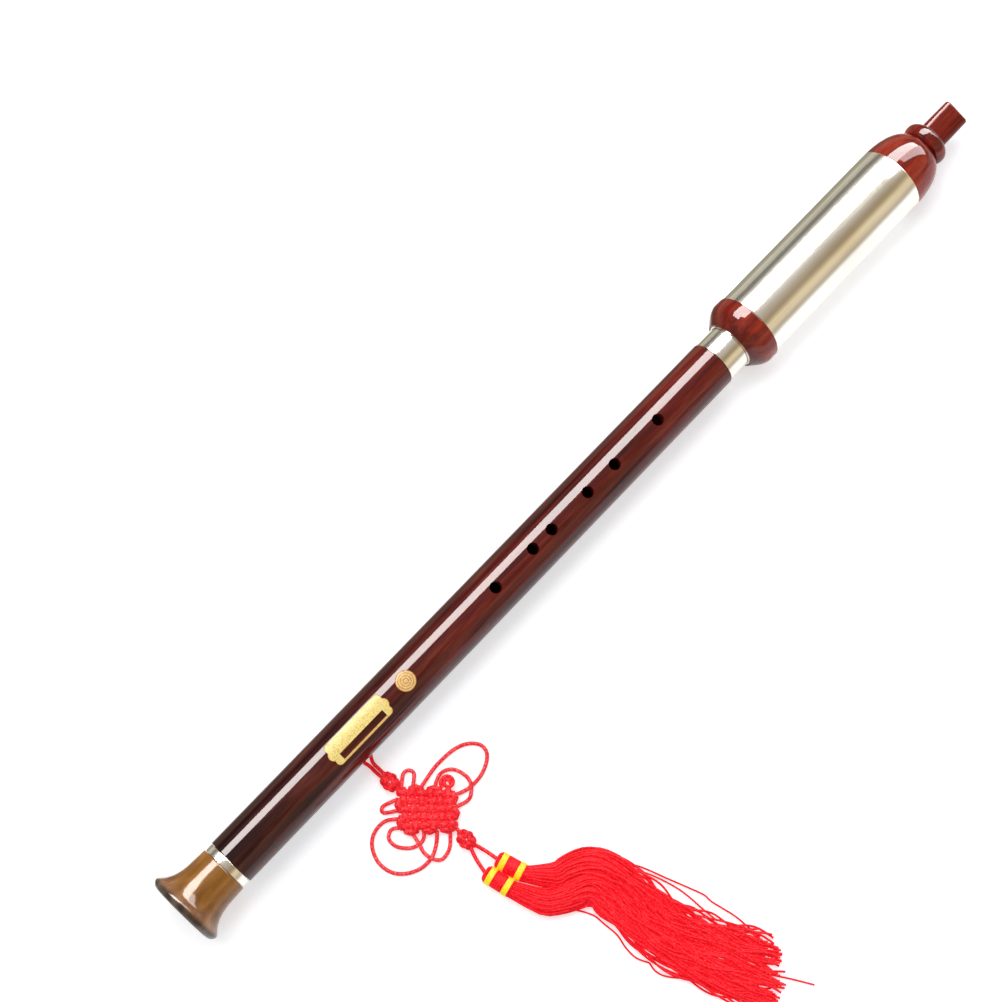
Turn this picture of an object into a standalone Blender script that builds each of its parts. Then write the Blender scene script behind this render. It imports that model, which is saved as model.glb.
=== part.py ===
"""A bawu, the free-reed pipe, lying on a table with its tassel.

Metres, +Z up. The pipe's axis runs along +X towards the mouth. The origin is under the middle
of the pipe, on the table.
"""

import math

import bmesh
import bpy
import numpy as np
from mathutils import Matrix, Vector

MM = 0.001

# Stations along the pipe, measured from the bell's open end
LENGTH = 576.0 * MM
BELL_LENGTH = 28.3 * MM
FERRULE_LENGTH = 4.2 * MM
BODY_END = 380.4 * MM
TENON_LENGTH = 46.0 * MM
COLLAR_START = 394.0 * MM
COLLAR_LENGTH = 14.3 * MM
BARREL_END = 522.5 * MM
DOME_END = 545.9 * MM
BEAD_LENGTH = 8.7 * MM
BELL_TENON_LENGTH = 8.3 * MM

# Radii
REST_RADIUS = 20.0 * MM
BODY_RADIUS = 13.0 * MM
BORE_RADIUS = 7.5 * MM
BELL_TENON_RADIUS = 10.6 * MM
FERRULE_RADIUS = 12.5 * MM
SLEEVE_RADIUS = 12.65 * MM
SLEEVE_WALL = 0.45 * MM
LINER_WALL = 0.5 * MM
BARREL_RADIUS = 19.45 * MM
BARREL_WALL = 0.7 * MM
NECK_RADIUS = 13.1 * MM
BEAD_RADIUS = 12.8 * MM

# Clearances
SEAT_GAP = 0.3 * MM
SLIDE_GAP = 0.05 * MM
EDGE = 0.4 * MM

# Holes
FINGER_STATIONS = [s * MM for s in (215.4, 242.3, 255.9, 282.3, 302.3, 334.6)]
FINGER_RADIUS = 3.1 * MM
FINGER_ROLL = math.radians(9)
THUMB_STATION = 355.0 * MM
TASSEL_STATION = 113.8 * MM
TASSEL_HOLE_SPACING = 5.8 * MM
TASSEL_HOLE_RADIUS = 1.5 * MM
TASSEL_HOLE_ROLL = math.radians(140)

# Reed
REED_TUBE_RADIUS = 11.0 * MM
REED_TUBE_END = 506.0 * MM
SPIGOT_END = 456.0 * MM
SOCKET_END = 436.5 * MM
REED_FLAT = 9.0 * MM
REED_PLATE = (25.0 * MM, 11.0 * MM, 0.4 * MM)
REED_CENTRE = 482.0 * MM
REED_SIDE_GAP = 0.4 * MM
TONGUE_LENGTH = 15.0 * MM
TONGUE_WIDTH = 4.2 * MM
TONGUE_TIP = 1.2 * MM
BINDING_WIDTH = 2.8 * MM
BINDING_THICK = 0.8 * MM
BINDING_TURNS = 3

# Mouthpiece
BEAK_WIDTH = 13.9 * MM
BEAK_THICK = 8.4 * MM
BEAK_TIP_THICK = 7.0 * MM
BEAK_ROLL = math.radians(34)
BEAK_CORNER = 1.2 * MM
WINDWAY = (8.5 * MM, 3.0 * MM)
MOUTH_TENON_RADIUS = 7.0 * MM
MOUTH_TENON_LENGTH = 12.0 * MM
CORK_THICK = 1.2 * MM

# Tassel
CORD_DIAMETER = 1.5 * MM
KNOT_THICK = 4.4 * MM
KNOT_CORDS = 6
BUTTON_RADIUS = 4.3 * MM
HEAD_RADIUS = 4.2 * MM
HEAD_LENGTH = 15.4 * MM
BAND_WIDTH = 3.0 * MM
BAND_PROUD = 0.25 * MM
THREAD_END_THICK = 4.0 * MM
THREAD_SECTIONS = 16
THREAD_RIBS = 9
THREAD_GROOVE = 0.08
THREAD_FRAY = 3.0 * MM

SIDES = 40
SMALL_SIDES = 20


def centred(station):
    """World x of a station."""
    return station - LENGTH / 2


AXIS_Z = REST_RADIUS
MERGE = 0.00001


def clear_scene():
    for obj in list(bpy.data.objects):
        bpy.data.objects.remove(obj, do_unlink=True)


def new_collection(name, hidden=False):
    collection = bpy.data.collections.new(name)
    bpy.context.scene.collection.children.link(collection)
    collection.hide_render = hidden
    return collection


def material(name, colour, roughness, metallic=0.0):
    made = bpy.data.materials.new(name)
    made.use_nodes = True
    shader = made.node_tree.nodes["Principled BSDF"]
    shader.inputs["Base Color"].default_value = (*colour, 1)
    shader.inputs["Roughness"].default_value = roughness
    shader.inputs["Metallic"].default_value = metallic
    return made


clear_scene()
BAWU = new_collection("Bawu")
CUTTERS = new_collection("Cutters", hidden=True)

WOOD = material("lacquered wood", (0.16, 0.03, 0.025), 0.18)
HORN = material("horn", (0.52, 0.30, 0.10), 0.2)
NICKEL = material("nickel silver", (0.78, 0.76, 0.70), 0.22, 1.0)
BRASS = material("brass", (0.80, 0.62, 0.25), 0.3, 1.0)
CORK = material("cork", (0.55, 0.38, 0.22), 0.9)
THREAD = material("binding thread", (0.75, 0.70, 0.58), 0.8)
RED = material("red cord", (0.80, 0.02, 0.03), 0.5)
YELLOW = material("yellow thread", (0.95, 0.78, 0.10), 0.6)


def add_object(name, mesh, surface, collection=None):
    obj = bpy.data.objects.new(name, mesh)
    (collection or BAWU).objects.link(obj)
    if surface:
        mesh.materials.append(surface)
    return obj


def facet_turn(sides):
    """Local Z becomes world +X, with a flat facet at the bottom."""
    return Matrix.Rotation(math.pi / 2, 4, "Y") @ Matrix.Rotation(math.pi / sides, 4, "Z")


def full(radius, sides):
    """The corner radius of a polygon whose flats lie at the radius."""
    return radius / math.cos(math.pi / sides)


def turned(name, outer, inner=None, surface=None, sides=SIDES, collection=None, place=None):
    """A turned piece. outer and inner list (station, radius) from the bell's end to the mouth's."""
    top_down = [(r, s) for s, r in reversed(outer)]
    if inner:
        loop = top_down + [(r, s) for s, r in inner]
    else:
        loop = [(0.0, outer[-1][0])] + top_down + [(0.0, outer[0][0])]
    mesh = bpy.data.meshes.new(name)
    points = [(full(r, sides), 0.0, s) for r, s in loop]
    edges = [(i, i + 1) for i in range(len(points) - 1)]
    if inner:
        edges.append((len(points) - 1, 0))
    mesh.from_pydata(points, edges, [])
    obj = add_object(name, mesh, surface, collection)
    screw = obj.modifiers.new("Turn", "SCREW")
    screw.axis = "Z"
    screw.steps = sides
    screw.render_steps = sides
    screw.use_merge_vertices = True
    screw.merge_threshold = MERGE
    screw.use_smooth_shade = True
    if place is None:
        place = Matrix.Translation((centred(0), 0, AXIS_Z)) @ facet_turn(sides)
    obj.matrix_world = place
    return obj


def cut(obj, cutter, operation="DIFFERENCE"):
    boolean = obj.modifiers.new(cutter.name, "BOOLEAN")
    boolean.operation = operation
    boolean.object = cutter
    cutter.hide_render = True
    cutter.display_type = "WIRE"


def box_cutter(name, size, matrix):
    mesh = bpy.data.meshes.new(name)
    shape = bmesh.new()
    bmesh.ops.create_cube(shape, size=1.0)
    bmesh.ops.scale(shape, vec=size, verts=shape.verts)
    shape.to_mesh(mesh)
    shape.free()
    obj = add_object(name, mesh, None, CUTTERS)
    obj.matrix_world = matrix
    return obj


def drill(name, radius, length, matrix, sides=16):
    """A cylinder along the matrix's Z, from its origin outwards."""
    mesh = bpy.data.meshes.new(name)
    shape = bmesh.new()
    bmesh.ops.create_cone(
        shape, cap_ends=True, segments=sides, radius1=radius, radius2=radius, depth=length
    )
    bmesh.ops.translate(shape, vec=(0, 0, length / 2), verts=shape.verts)
    shape.to_mesh(mesh)
    shape.free()
    obj = add_object(name, mesh, None, CUTTERS)
    obj.matrix_world = matrix
    return obj


def across(station, roll):
    """A frame on the axis whose Z points out of the pipe, turned from +Z towards -Y by roll."""
    return Matrix.Translation((centred(station), 0, AXIS_Z)) @ Matrix.Rotation(roll, 4, "X")


# Lower joint


def bell_profile():
    """The flare of the horn, from its rolled rim to the neck."""
    rim = 0.9 * MM
    flare = [(4.9, 18.9), (6.6, 17.3), (8.6, 16.0), (11.0, 14.9), (14.0, 14.05), (18.5, 13.5)]
    outer = [(0.0, 16.9 * MM), (0.5 * MM, 18.3 * MM), (1.5 * MM, REST_RADIUS - rim)]
    outer += [(2.7 * MM, REST_RADIUS), (3.7 * MM, REST_RADIUS)]
    outer += [(s * MM, r * MM) for s, r in flare]
    outer += [(BELL_LENGTH - EDGE, NECK_RADIUS), (BELL_LENGTH, NECK_RADIUS - EDGE)]
    return outer


def horn_bell():
    inner = [(0.0, 15.7 * MM), (2.0 * MM, 14.0 * MM), (5.0 * MM, 12.0 * MM)]
    inner += [(9.0 * MM, 10.2 * MM), (14.0 * MM, 8.9 * MM), (20.0 * MM, 8.0 * MM)]
    socket = BELL_TENON_RADIUS + SLIDE_GAP
    seat = BELL_LENGTH - BELL_TENON_LENGTH
    inner = [(s, r) for s, r in inner if s < seat]
    inner += [(seat, BORE_RADIUS + 0.5 * MM), (seat, socket), (BELL_LENGTH, socket)]
    turned("horn_bell", bell_profile(), inner, HORN)


def bell_ferrule():
    start = BELL_LENGTH + SEAT_GAP
    end = BELL_LENGTH + FERRULE_LENGTH - SEAT_GAP
    outer = [(start, FERRULE_RADIUS - EDGE), (start + EDGE, FERRULE_RADIUS)]
    outer += [(end - EDGE, FERRULE_RADIUS), (end, FERRULE_RADIUS - EDGE)]
    inside = BELL_TENON_RADIUS + SLIDE_GAP
    turned("bell_ferrule", outer, [(start, inside), (end, inside)], NICKEL)


def body_tube():
    start = BELL_LENGTH + FERRULE_LENGTH
    tenon = SLEEVE_RADIUS - SLEEVE_WALL - SLIDE_GAP
    foot = BELL_LENGTH - BELL_TENON_LENGTH + SEAT_GAP
    outer = [(foot, BELL_TENON_RADIUS), (start, BELL_TENON_RADIUS)]
    outer += [(start, BODY_RADIUS - EDGE), (start + EDGE, BODY_RADIUS)]
    outer += [(BODY_END - EDGE, BODY_RADIUS), (BODY_END, BODY_RADIUS - EDGE)]
    outer += [(BODY_END, tenon), (BODY_END + TENON_LENGTH, tenon)]
    inner = [(foot, BORE_RADIUS), (BODY_END + TENON_LENGTH, BORE_RADIUS)]
    tube = turned("body_tube", outer, inner, WOOD)
    for number, station in enumerate(FINGER_STATIONS, 1):
        hole = drill(f"finger_drill_{number}", FINGER_RADIUS, 2 * BODY_RADIUS, across(station, FINGER_ROLL))
        cut(tube, hole)
    behind = across(THUMB_STATION, FINGER_ROLL + math.pi)
    cut(tube, drill("thumb_drill", FINGER_RADIUS, 2 * BODY_RADIUS, behind))
    for number, side in enumerate((-1, 1), 1):
        station = TASSEL_STATION + side * TASSEL_HOLE_SPACING / 2
        hole = drill(
            f"tassel_drill_{number}",
            TASSEL_HOLE_RADIUS,
            2 * BODY_RADIUS,
            across(station, TASSEL_HOLE_ROLL),
            sides=10,
        )
        cut(tube, hole)


def tenon_sleeve():
    start = BODY_END + SEAT_GAP
    end = BODY_END + TENON_LENGTH
    outer = [(start, SLEEVE_RADIUS), (end - EDGE, SLEEVE_RADIUS), (end, SLEEVE_RADIUS - EDGE / 2)]
    inside = SLEEVE_RADIUS - SLEEVE_WALL
    turned("tenon_sleeve", outer, [(start, inside), (end, inside)], NICKEL)


# Head joint


def liner_radii():
    inside = SLEEVE_RADIUS + SLIDE_GAP
    return inside, inside + LINER_WALL


def head_collar():
    shoulder = COLLAR_START + COLLAR_LENGTH
    spigot = BARREL_RADIUS - BARREL_WALL - SLIDE_GAP
    liner = liner_radii()[1] + SLIDE_GAP
    reed_seat = REED_TUBE_RADIUS + SLIDE_GAP
    curve = [(0.0, 14.3), (1.2, 15.3), (2.5, 16.35), (3.8, 17.4), (5.0, 18.25), (6.2, 18.95), (7.5, 19.5)]
    outer = [(COLLAR_START + s * MM, r * MM) for s, r in curve]
    outer += [(COLLAR_START + 8.6 * MM, REST_RADIUS), (shoulder - EDGE, REST_RADIUS)]
    outer += [(shoulder, REST_RADIUS - EDGE), (shoulder, spigot), (SPIGOT_END, spigot)]
    inner = [(COLLAR_START, liner), (SOCKET_END, liner), (SOCKET_END, reed_seat)]
    inner += [(SPIGOT_END, reed_seat)]
    turned("head_collar", outer, inner, WOOD)


def socket_liner():
    inside, outside = liner_radii()
    start = COLLAR_START
    end = SOCKET_END - SEAT_GAP
    turned("socket_liner", [(start, outside), (end, outside)], [(start, inside), (end, inside)], NICKEL)


def wind_barrel():
    start = COLLAR_START + COLLAR_LENGTH + SEAT_GAP
    inside = BARREL_RADIUS - BARREL_WALL
    outer = [(start, BARREL_RADIUS - EDGE / 2), (start + EDGE, BARREL_RADIUS)]
    outer += [(BARREL_END - EDGE, BARREL_RADIUS), (BARREL_END, BARREL_RADIUS - EDGE / 2)]
    turned("wind_barrel", outer, [(start, inside), (BARREL_END, inside)], NICKEL)


def barrel_dome():
    spigot = BARREL_RADIUS - BARREL_WALL - SLIDE_GAP
    start = BARREL_END + SEAT_GAP
    height = DOME_END - start
    foot = BARREL_RADIUS - 0.25 * MM
    socket = MOUTH_TENON_RADIUS + CORK_THICK + 2 * SLIDE_GAP
    outer = [(BARREL_END - 8 * MM, spigot), (start, spigot)]
    for share in (0.0, 0.14, 0.28, 0.4, 0.52, 0.62, 0.71, 0.79, 0.86, 0.92, 0.97, 1.0):
        outer.append((start + height * share, foot * (1 - share**3.4) ** 0.5 * 0.4 + foot * (0.6 - 0.02 * share)))
    inner = [(BARREL_END - 8 * MM, spigot - 2.5 * MM), (start + 2 * MM, spigot - 3.5 * MM)]
    inner += [(DOME_END - MOUTH_TENON_LENGTH + 1 * MM, socket), (DOME_END, socket)]
    turned("barrel_dome", outer, inner, WOOD)


def reed_tube():
    start = SOCKET_END + SEAT_GAP
    outer = [(start, REED_TUBE_RADIUS), (REED_TUBE_END, REED_TUBE_RADIUS)]
    tube = turned("reed_tube", outer, [(start, BORE_RADIUS), (REED_TUBE_END, BORE_RADIUS)], WOOD)
    length, width, thick = REED_PLATE
    seat = across(REED_CENTRE, FINGER_ROLL) @ Matrix.Translation((0, 0, REED_FLAT + REED_TUBE_RADIUS / 2))
    cut(tube, box_cutter("reed_seat_cutter", (length + 2 * SEAT_GAP, 30 * MM, REED_TUBE_RADIUS), seat))
    slot = across(REED_CENTRE, FINGER_ROLL) @ Matrix.Translation((0, 0, REED_FLAT))
    opening = (TONGUE_LENGTH + 2 * MM, TONGUE_WIDTH + 2 * MM, REED_TUBE_RADIUS)
    cut(tube, box_cutter("reed_window_cutter", opening, slot))


def reed_tube_stopper():
    cap = 3.0 * MM
    plug = 7.0 * MM
    inside = BORE_RADIUS - SLIDE_GAP
    end = REED_TUBE_END + SEAT_GAP
    outer = [(end - plug, inside), (end, inside), (end, REED_TUBE_RADIUS)]
    outer += [(end + cap - EDGE, REED_TUBE_RADIUS), (end + cap, REED_TUBE_RADIUS - EDGE)]
    turned("reed_tube_stopper", outer, None, CORK)


def tongue_slit():
    """The slit that cuts the pointed tongue free on three sides. Its root stays part of the plate."""
    root = -TONGUE_LENGTH / 2
    tip = TONGUE_LENGTH / 2
    side = TONGUE_WIDTH / 2
    point = TONGUE_TIP / 2
    out = REED_SIDE_GAP
    outer = [(root, -side - out), (tip + out, -point - out), (tip + out, point + out), (root, side + out)]
    return outer + [(root, side), (tip, point), (tip, -point), (root, -side)]


def flat_plate(name, outlines, thick, surface, matrix):
    """A flat outline, the later outlines cut out of the first, with half its thickness each way."""
    curve = bpy.data.curves.new(name, "CURVE")
    curve.dimensions = "2D"
    curve.fill_mode = "BOTH"
    curve.extrude = thick / 2
    for outline in outlines:
        spline = curve.splines.new("POLY")
        spline.points.add(len(outline) - 1)
        for point, (x, y) in zip(spline.points, outline):
            point.co = (x, y, 0, 1)
        spline.use_cyclic_u = True
    obj = add_object(name, curve, surface)
    obj.matrix_world = matrix
    return obj


def reed():
    length, width, thick = REED_PLATE
    level = REED_FLAT + SLIDE_GAP * 2 + thick / 2
    place = across(REED_CENTRE, FINGER_ROLL) @ Matrix.Translation((0, 0, level))
    plate = [(-length / 2, -width / 2), (length / 2, -width / 2)]
    plate += [(length / 2, width / 2), (-length / 2, width / 2)]
    flat_plate("reed_plate", [plate, tongue_slit()], thick, BRASS, place)
    for number, side in enumerate((-1, 1), 1):
        middle = REED_CENTRE + side * (length / 2 - BINDING_WIDTH / 2)
        binding(f"reed_binding_{number}", middle)


def binding(name, middle):
    """Thread tied round the reed tube, its turns as a row of rounds."""
    inside = REED_TUBE_RADIUS + 2 * SLIDE_GAP
    start = middle - BINDING_WIDTH / 2
    pitch = BINDING_WIDTH / BINDING_TURNS
    outer = []
    for turn in range(BINDING_TURNS):
        outer.append((start + pitch * turn, inside + BINDING_THICK * 0.7))
        outer.append((start + pitch * (turn + 0.5), inside + BINDING_THICK))
    outer.append((start + BINDING_WIDTH, inside + BINDING_THICK * 0.7))
    turned(name, outer, [(start, inside), (start + BINDING_WIDTH, inside)], THREAD, SMALL_SIDES)


# Mouthpiece


def beak_block():
    """The flat beak, thinner at its tip, as a beveled box that runs into the bead."""
    inside = 3 * MM
    start = DOME_END + BEAD_LENGTH - inside
    length = LENGTH - start
    mesh = bpy.data.meshes.new("beak_block")
    shape = bmesh.new()
    bmesh.ops.create_cube(shape, size=1.0)
    bmesh.ops.scale(shape, vec=(length, BEAK_WIDTH, BEAK_THICK), verts=shape.verts)
    for vert in shape.verts:
        if vert.co.x > 0:
            vert.co.z *= BEAK_TIP_THICK / BEAK_THICK
    shape.to_mesh(mesh)
    shape.free()
    obj = add_object("beak_block", mesh, None, CUTTERS)
    obj.matrix_world = across(start + length / 2, BEAK_ROLL)
    bevel = obj.modifiers.new("Corners", "BEVEL")
    bevel.width = BEAK_CORNER
    bevel.segments = 2
    return obj


def mouthpiece():
    start = DOME_END + SEAT_GAP
    end = DOME_END + BEAD_LENGTH
    foot = DOME_END - MOUTH_TENON_LENGTH
    outer = [(foot, MOUTH_TENON_RADIUS), (start, MOUTH_TENON_RADIUS), (start, BEAD_RADIUS - 0.8 * MM)]
    outer += [(start + 0.6 * MM, BEAD_RADIUS - 0.2 * MM), (start + 1.8 * MM, BEAD_RADIUS)]
    outer += [(start + 5.0 * MM, BEAD_RADIUS - 0.2 * MM), (end - 1.6 * MM, BEAD_RADIUS - 1.0 * MM)]
    outer += [(end - 0.4 * MM, BEAD_RADIUS - 2.2 * MM), (end, BEAD_RADIUS - 3.0 * MM)]
    piece = turned("mouthpiece", outer, None, WOOD)
    cut(piece, beak_block(), "UNION")
    reach = LENGTH - foot
    windway = across(foot + reach / 2, BEAK_ROLL)
    cut(piece, box_cutter("windway_cutter", (reach + 2 * MM, *WINDWAY), windway))


def mouthpiece_cork():
    inside = MOUTH_TENON_RADIUS + SLIDE_GAP
    outside = MOUTH_TENON_RADIUS + CORK_THICK
    start = DOME_END - MOUTH_TENON_LENGTH + 2 * MM
    end = DOME_END - 1 * MM
    outer = [(start, outside), (end, outside)]
    turned("mouthpiece_cork", outer, [(start, inside), (end, inside)], CORK)


# Tassel, laid on the table


def on_table(x, y, z=0.0):
    return Vector((x * MM, y * MM, z * MM))


def smooth_route(points, count):
    """count points evenly along a Catmull-Rom curve through the given ones."""
    given = [np.array(p, float) for p in points]
    ends = [2 * given[0] - given[1]] + given + [2 * given[-1] - given[-2]]
    fine = []
    for a, b, c, d in zip(ends, ends[1:], ends[2:], ends[3:]):
        for t in np.linspace(0, 1, 24, endpoint=False):
            fine.append(
                0.5 * (2 * b + (c - a) * t + (2 * a - 5 * b + 4 * c - d) * t**2 + (3 * b - a - 3 * c + d) * t**3)
            )
    fine = np.array(fine + [given[-1]])
    along = np.concatenate([[0], np.cumsum(np.linalg.norm(np.diff(fine, axis=0), axis=1))])
    at = np.linspace(0, along[-1], count)
    return [tuple(np.interp(v, along, fine[:, k]) for k in range(3)) for v in at]


def cord(name, points, count, radius=CORD_DIAMETER / 2, surface=RED):
    curve = bpy.data.curves.new(name, "CURVE")
    curve.dimensions = "3D"
    curve.bevel_depth = radius
    curve.bevel_resolution = 1
    curve.use_fill_caps = True
    spline = curve.splines.new("POLY")
    route = smooth_route(points, count)
    spline.points.add(len(route) - 1)
    for point, (x, y, z) in zip(spline.points, route):
        point.co = (x, y, max(z, TABLE_GAP + radius), 1)
    return add_object(name, curve, surface)


# Places of the tassel on the table, in millimetres
UPPER_KNOT = (-174.6, -26.4)
KNOT_CORNERS = [(-174.2, -31.3), (-156.6, -51.6), (-168.6, -65.8), (-187.8, -47.6)]
LOWER_KNOT = (-169.4, -73.1)
HEADS = {"a": ((-165.9, -90.2), (-161.3, -105.5)), "b": ((-175.1, -90.4), (-172.4, -106.1))}
THREAD_PATH = [(-166.9, -106.4), (-160.9, -118.3), (-146.6, -125.6), (-140.0, -130.5), (-136.9, -141.6)]
THREAD_PATH += [(-136.7, -154.8), (-136.0, -169.5), (-133.2, -183.5), (-127.7, -199), (-120.9, -214.5), (-114, -230)]
THREAD_SPREAD = [19.5, 20.5, 22.0, 23.0, 24.5, 26.0, 28.0, 29.5, 31.0, 32.0, 32.5]
TABLE_GAP = 0.1 * MM
WEAVE_STEPS = 4


def hanging_cord():
    """Both strands and the bend between them inside the bore are one cord."""
    out = Vector((0, -math.sin(TASSEL_HOLE_ROLL), math.cos(TASSEL_HOLE_ROLL)))
    low = TABLE_GAP + CORD_DIAMETER / 2
    knot = on_table(*UPPER_KNOT)
    reach = BUTTON_RADIUS * 1.02 + SEAT_GAP
    middle = Vector((centred(TASSEL_STATION), 0, AXIS_Z))
    strands = []
    for side in (-1, 1):
        hole = middle + Vector((side * TASSEL_HOLE_SPACING / 2, 0, 0))
        strand = [knot + Vector((side * 1.1 * MM, reach, low + 1.6 * MM))]
        strand.append(Vector((knot.x + side * 1.8 * MM, -17.5 * MM, low + 0.6 * MM)))
        strand.append(Vector(((hole.x + knot.x) / 2 + side * 1.4 * MM, -13.0 * MM, low + 2.6 * MM)))
        strand += [hole + out * (BODY_RADIUS + 2.2 * MM), hole + out * 9.0 * MM]
        strand.append(hole + out * (BORE_RADIUS - 0.6 * MM))
        strands.append(strand)
    bend = middle + out * (BORE_RADIUS - 2.6 * MM)
    cord("hanging_cord", strands[0] + [bend] + strands[1][::-1], 40)


def button_knot(name, place):
    """A round knot with the cord's turns as ridges, squashed where it lies."""
    mesh = bpy.data.meshes.new(name)
    shape = bmesh.new()
    bmesh.ops.create_uvsphere(shape, u_segments=16, v_segments=10, radius=BUTTON_RADIUS)
    for vert in shape.verts:
        around = math.atan2(vert.co.y, vert.co.x)
        level = vert.co.z / BUTTON_RADIUS
        ridge = 1 + 0.06 * math.cos(4 * around + 5 * level) * math.sqrt(max(0.0, 1 - level**2))
        vert.co *= ridge
    shape.to_mesh(mesh)
    shape.free()
    obj = add_object(name, mesh, RED)
    flat = 0.72
    obj.matrix_world = (
        Matrix.Translation((place[0] * MM, place[1] * MM, BUTTON_RADIUS * flat + TABLE_GAP))
        @ Matrix.Diagonal((0.94, 0.94, flat, 1))
    )
    return obj


def weave(u, v):
    """Height of the woven face, 0 to 1. The cord on top alternates from crossing to crossing."""
    column, row = u * KNOT_CORDS, v * KNOT_CORDS
    over = int(min(column, KNOT_CORDS - 0.01)) + int(min(row, KNOT_CORDS - 0.01))
    along = abs(math.sin(math.pi * column))
    cross = abs(math.sin(math.pi * row))
    ridge = cross if over % 2 else along
    return 0.45 * ridge**0.5 + 0.55 * along * cross


def knot_edge(side, share, away):
    """A point off one side of the woven square, the share of the way along it, in millimetres."""
    a = Vector((*KNOT_CORNERS[side], 0))
    b = Vector((*KNOT_CORNERS[(side + 1) % 4], 0))
    along = (b - a).normalized()
    return a.lerp(b, share) + Vector((-along.y, along.x, 0)) * away


def endless_knot():
    """The woven square: cords over and under each other, shaped by formula on both faces."""
    corners = [Vector((x * MM, y * MM, 0)) for x, y in KNOT_CORNERS]
    steps = WEAVE_STEPS * KNOT_CORDS
    half = KNOT_THICK / 2
    mesh = bpy.data.meshes.new("endless_knot")
    shape = bmesh.new()
    faces = {}
    for face in (-1, 1):
        for i in range(steps + 1):
            for j in range(steps + 1):
                u, v = i / steps, j / steps
                place = corners[0].lerp(corners[1], u).lerp(corners[3].lerp(corners[2], u), v)
                height = half * (0.5 + 0.5 * weave(u, v if face > 0 else 1 - v))
                place.z = TABLE_GAP + half + face * height
                faces[face, i, j] = shape.verts.new(place)
    for i in range(steps):
        for j in range(steps):
            for face in (-1, 1):
                quad = [faces[face, i, j], faces[face, i + 1, j], faces[face, i + 1, j + 1], faces[face, i, j + 1]]
                shape.faces.new(quad)
    rim = [(i, 0) for i in range(steps)] + [(steps, j) for j in range(steps)]
    rim += [(steps - i, steps) for i in range(steps)] + [(0, steps - j) for j in range(steps)]
    for (i, j), (k, m) in zip(rim, rim[1:] + rim[:1]):
        shape.faces.new([faces[1, i, j], faces[1, k, m], faces[-1, k, m], faces[-1, i, j]])
    bmesh.ops.recalc_face_normals(shape, faces=shape.faces)
    shape.to_mesh(mesh)
    shape.free()
    return add_object("endless_knot", mesh, RED)


# Each loop leaves one side of the woven square and comes back to one. A place is x, y and its
# height over the table. Where two loops cross, the one on top is lifted.
LOW, HIGH = 0.0, 1.95
EARS = {
    "ear_small_upper": (
        (0, 0.06),
        [(-167.2, -28.1, LOW), (-164.0, -28.7, LOW), (-163.4, -31.9, LOW)],
        (0, 0.27),
    ),
    "ear_big_upper": (
        (0, 0.4),
        [(-156.7, -37.4, LOW), (-149.9, -37.0, LOW), (-141.2, -37.9, LOW), (-134.7, -40.7, LOW)]
        + [(-130.6, -45.7, LOW), (-131.1, -50.6, LOW), (-135.1, -54.1, LOW), (-141.8, -56.5, LOW)]
        + [(-148.9, -56.6, LOW), (-153.5, -55.4, LOW)],
        (1, 0.12),
    ),
    "ear_side_upper": (
        (0, 0.66),
        [(-155.9, -41.5, LOW), (-151.4, -42.1, LOW), (-148.2, -45.1, LOW), (-146.8, -49.9, LOW)]
        + [(-147.2, -54.1, HIGH), (-149.6, -57.8, HIGH), (-154.2, -60.2, LOW)],
        (1, 0.45),
    ),
    "ear_small_left": (
        (3, 0.76),
        [(-181.9, -33.0, LOW), (-185.9, -31.9, LOW), (-187.4, -34.3, LOW)],
        (3, 0.5),
    ),
    "ear_big_lower": (
        (3, 0.3),
        [(-189.1, -38.0, LOW), (-194.7, -37.2, LOW), (-200.2, -39.0, LOW), (-204.1, -43.1, LOW)]
        + [(-206.5, -49.5, LOW), (-205.7, -56.7, LOW), (-201.9, -62.1, LOW), (-196.1, -65.7, LOW)]
        + [(-190.3, -66.8, LOW), (-185.3, -66.0, LOW), (-179.9, -63.0, LOW)],
        (2, 0.36),
    ),
    "ear_side_lower": (
        (3, 0.1),
        [(-190.6, -42.8, LOW), (-194.2, -44.2, LOW), (-195.3, -47.0, LOW), (-194.6, -51.0, LOW)]
        + [(-191.1, -55.5, LOW), (-186.9, -57.6, LOW), (-183.4, -57.4, LOW)],
        (2, 0.6),
    ),
    "ear_bottom": (
        (2, 0.84),
        [(-186.6, -57.9, HIGH), (-188.0, -62.2, HIGH), (-187.4, -67.2, HIGH), (-184.6, -70.6, LOW)]
        + [(-180.2, -70.6, LOW), (-176.2, -68.6, LOW)],
        (2, 0.12),
    ),
}


def ears():
    away = SEAT_GAP / MM
    base = TABLE_GAP / MM + CORD_DIAMETER / 2 / MM
    for name, (leave, places, arrive) in EARS.items():
        first = knot_edge(*leave, away)
        last = knot_edge(*arrive, away)
        points = [(first.x, first.y, 1.0)] + places + [(last.x, last.y, 1.0)]
        count = 3 + int(sum(math.dist(a, b) for a, b in zip(points, points[1:])) / 3.0)
        cord(name, [(x * MM, y * MM, (z + base) * MM) for x, y, z in points], count)


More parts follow.
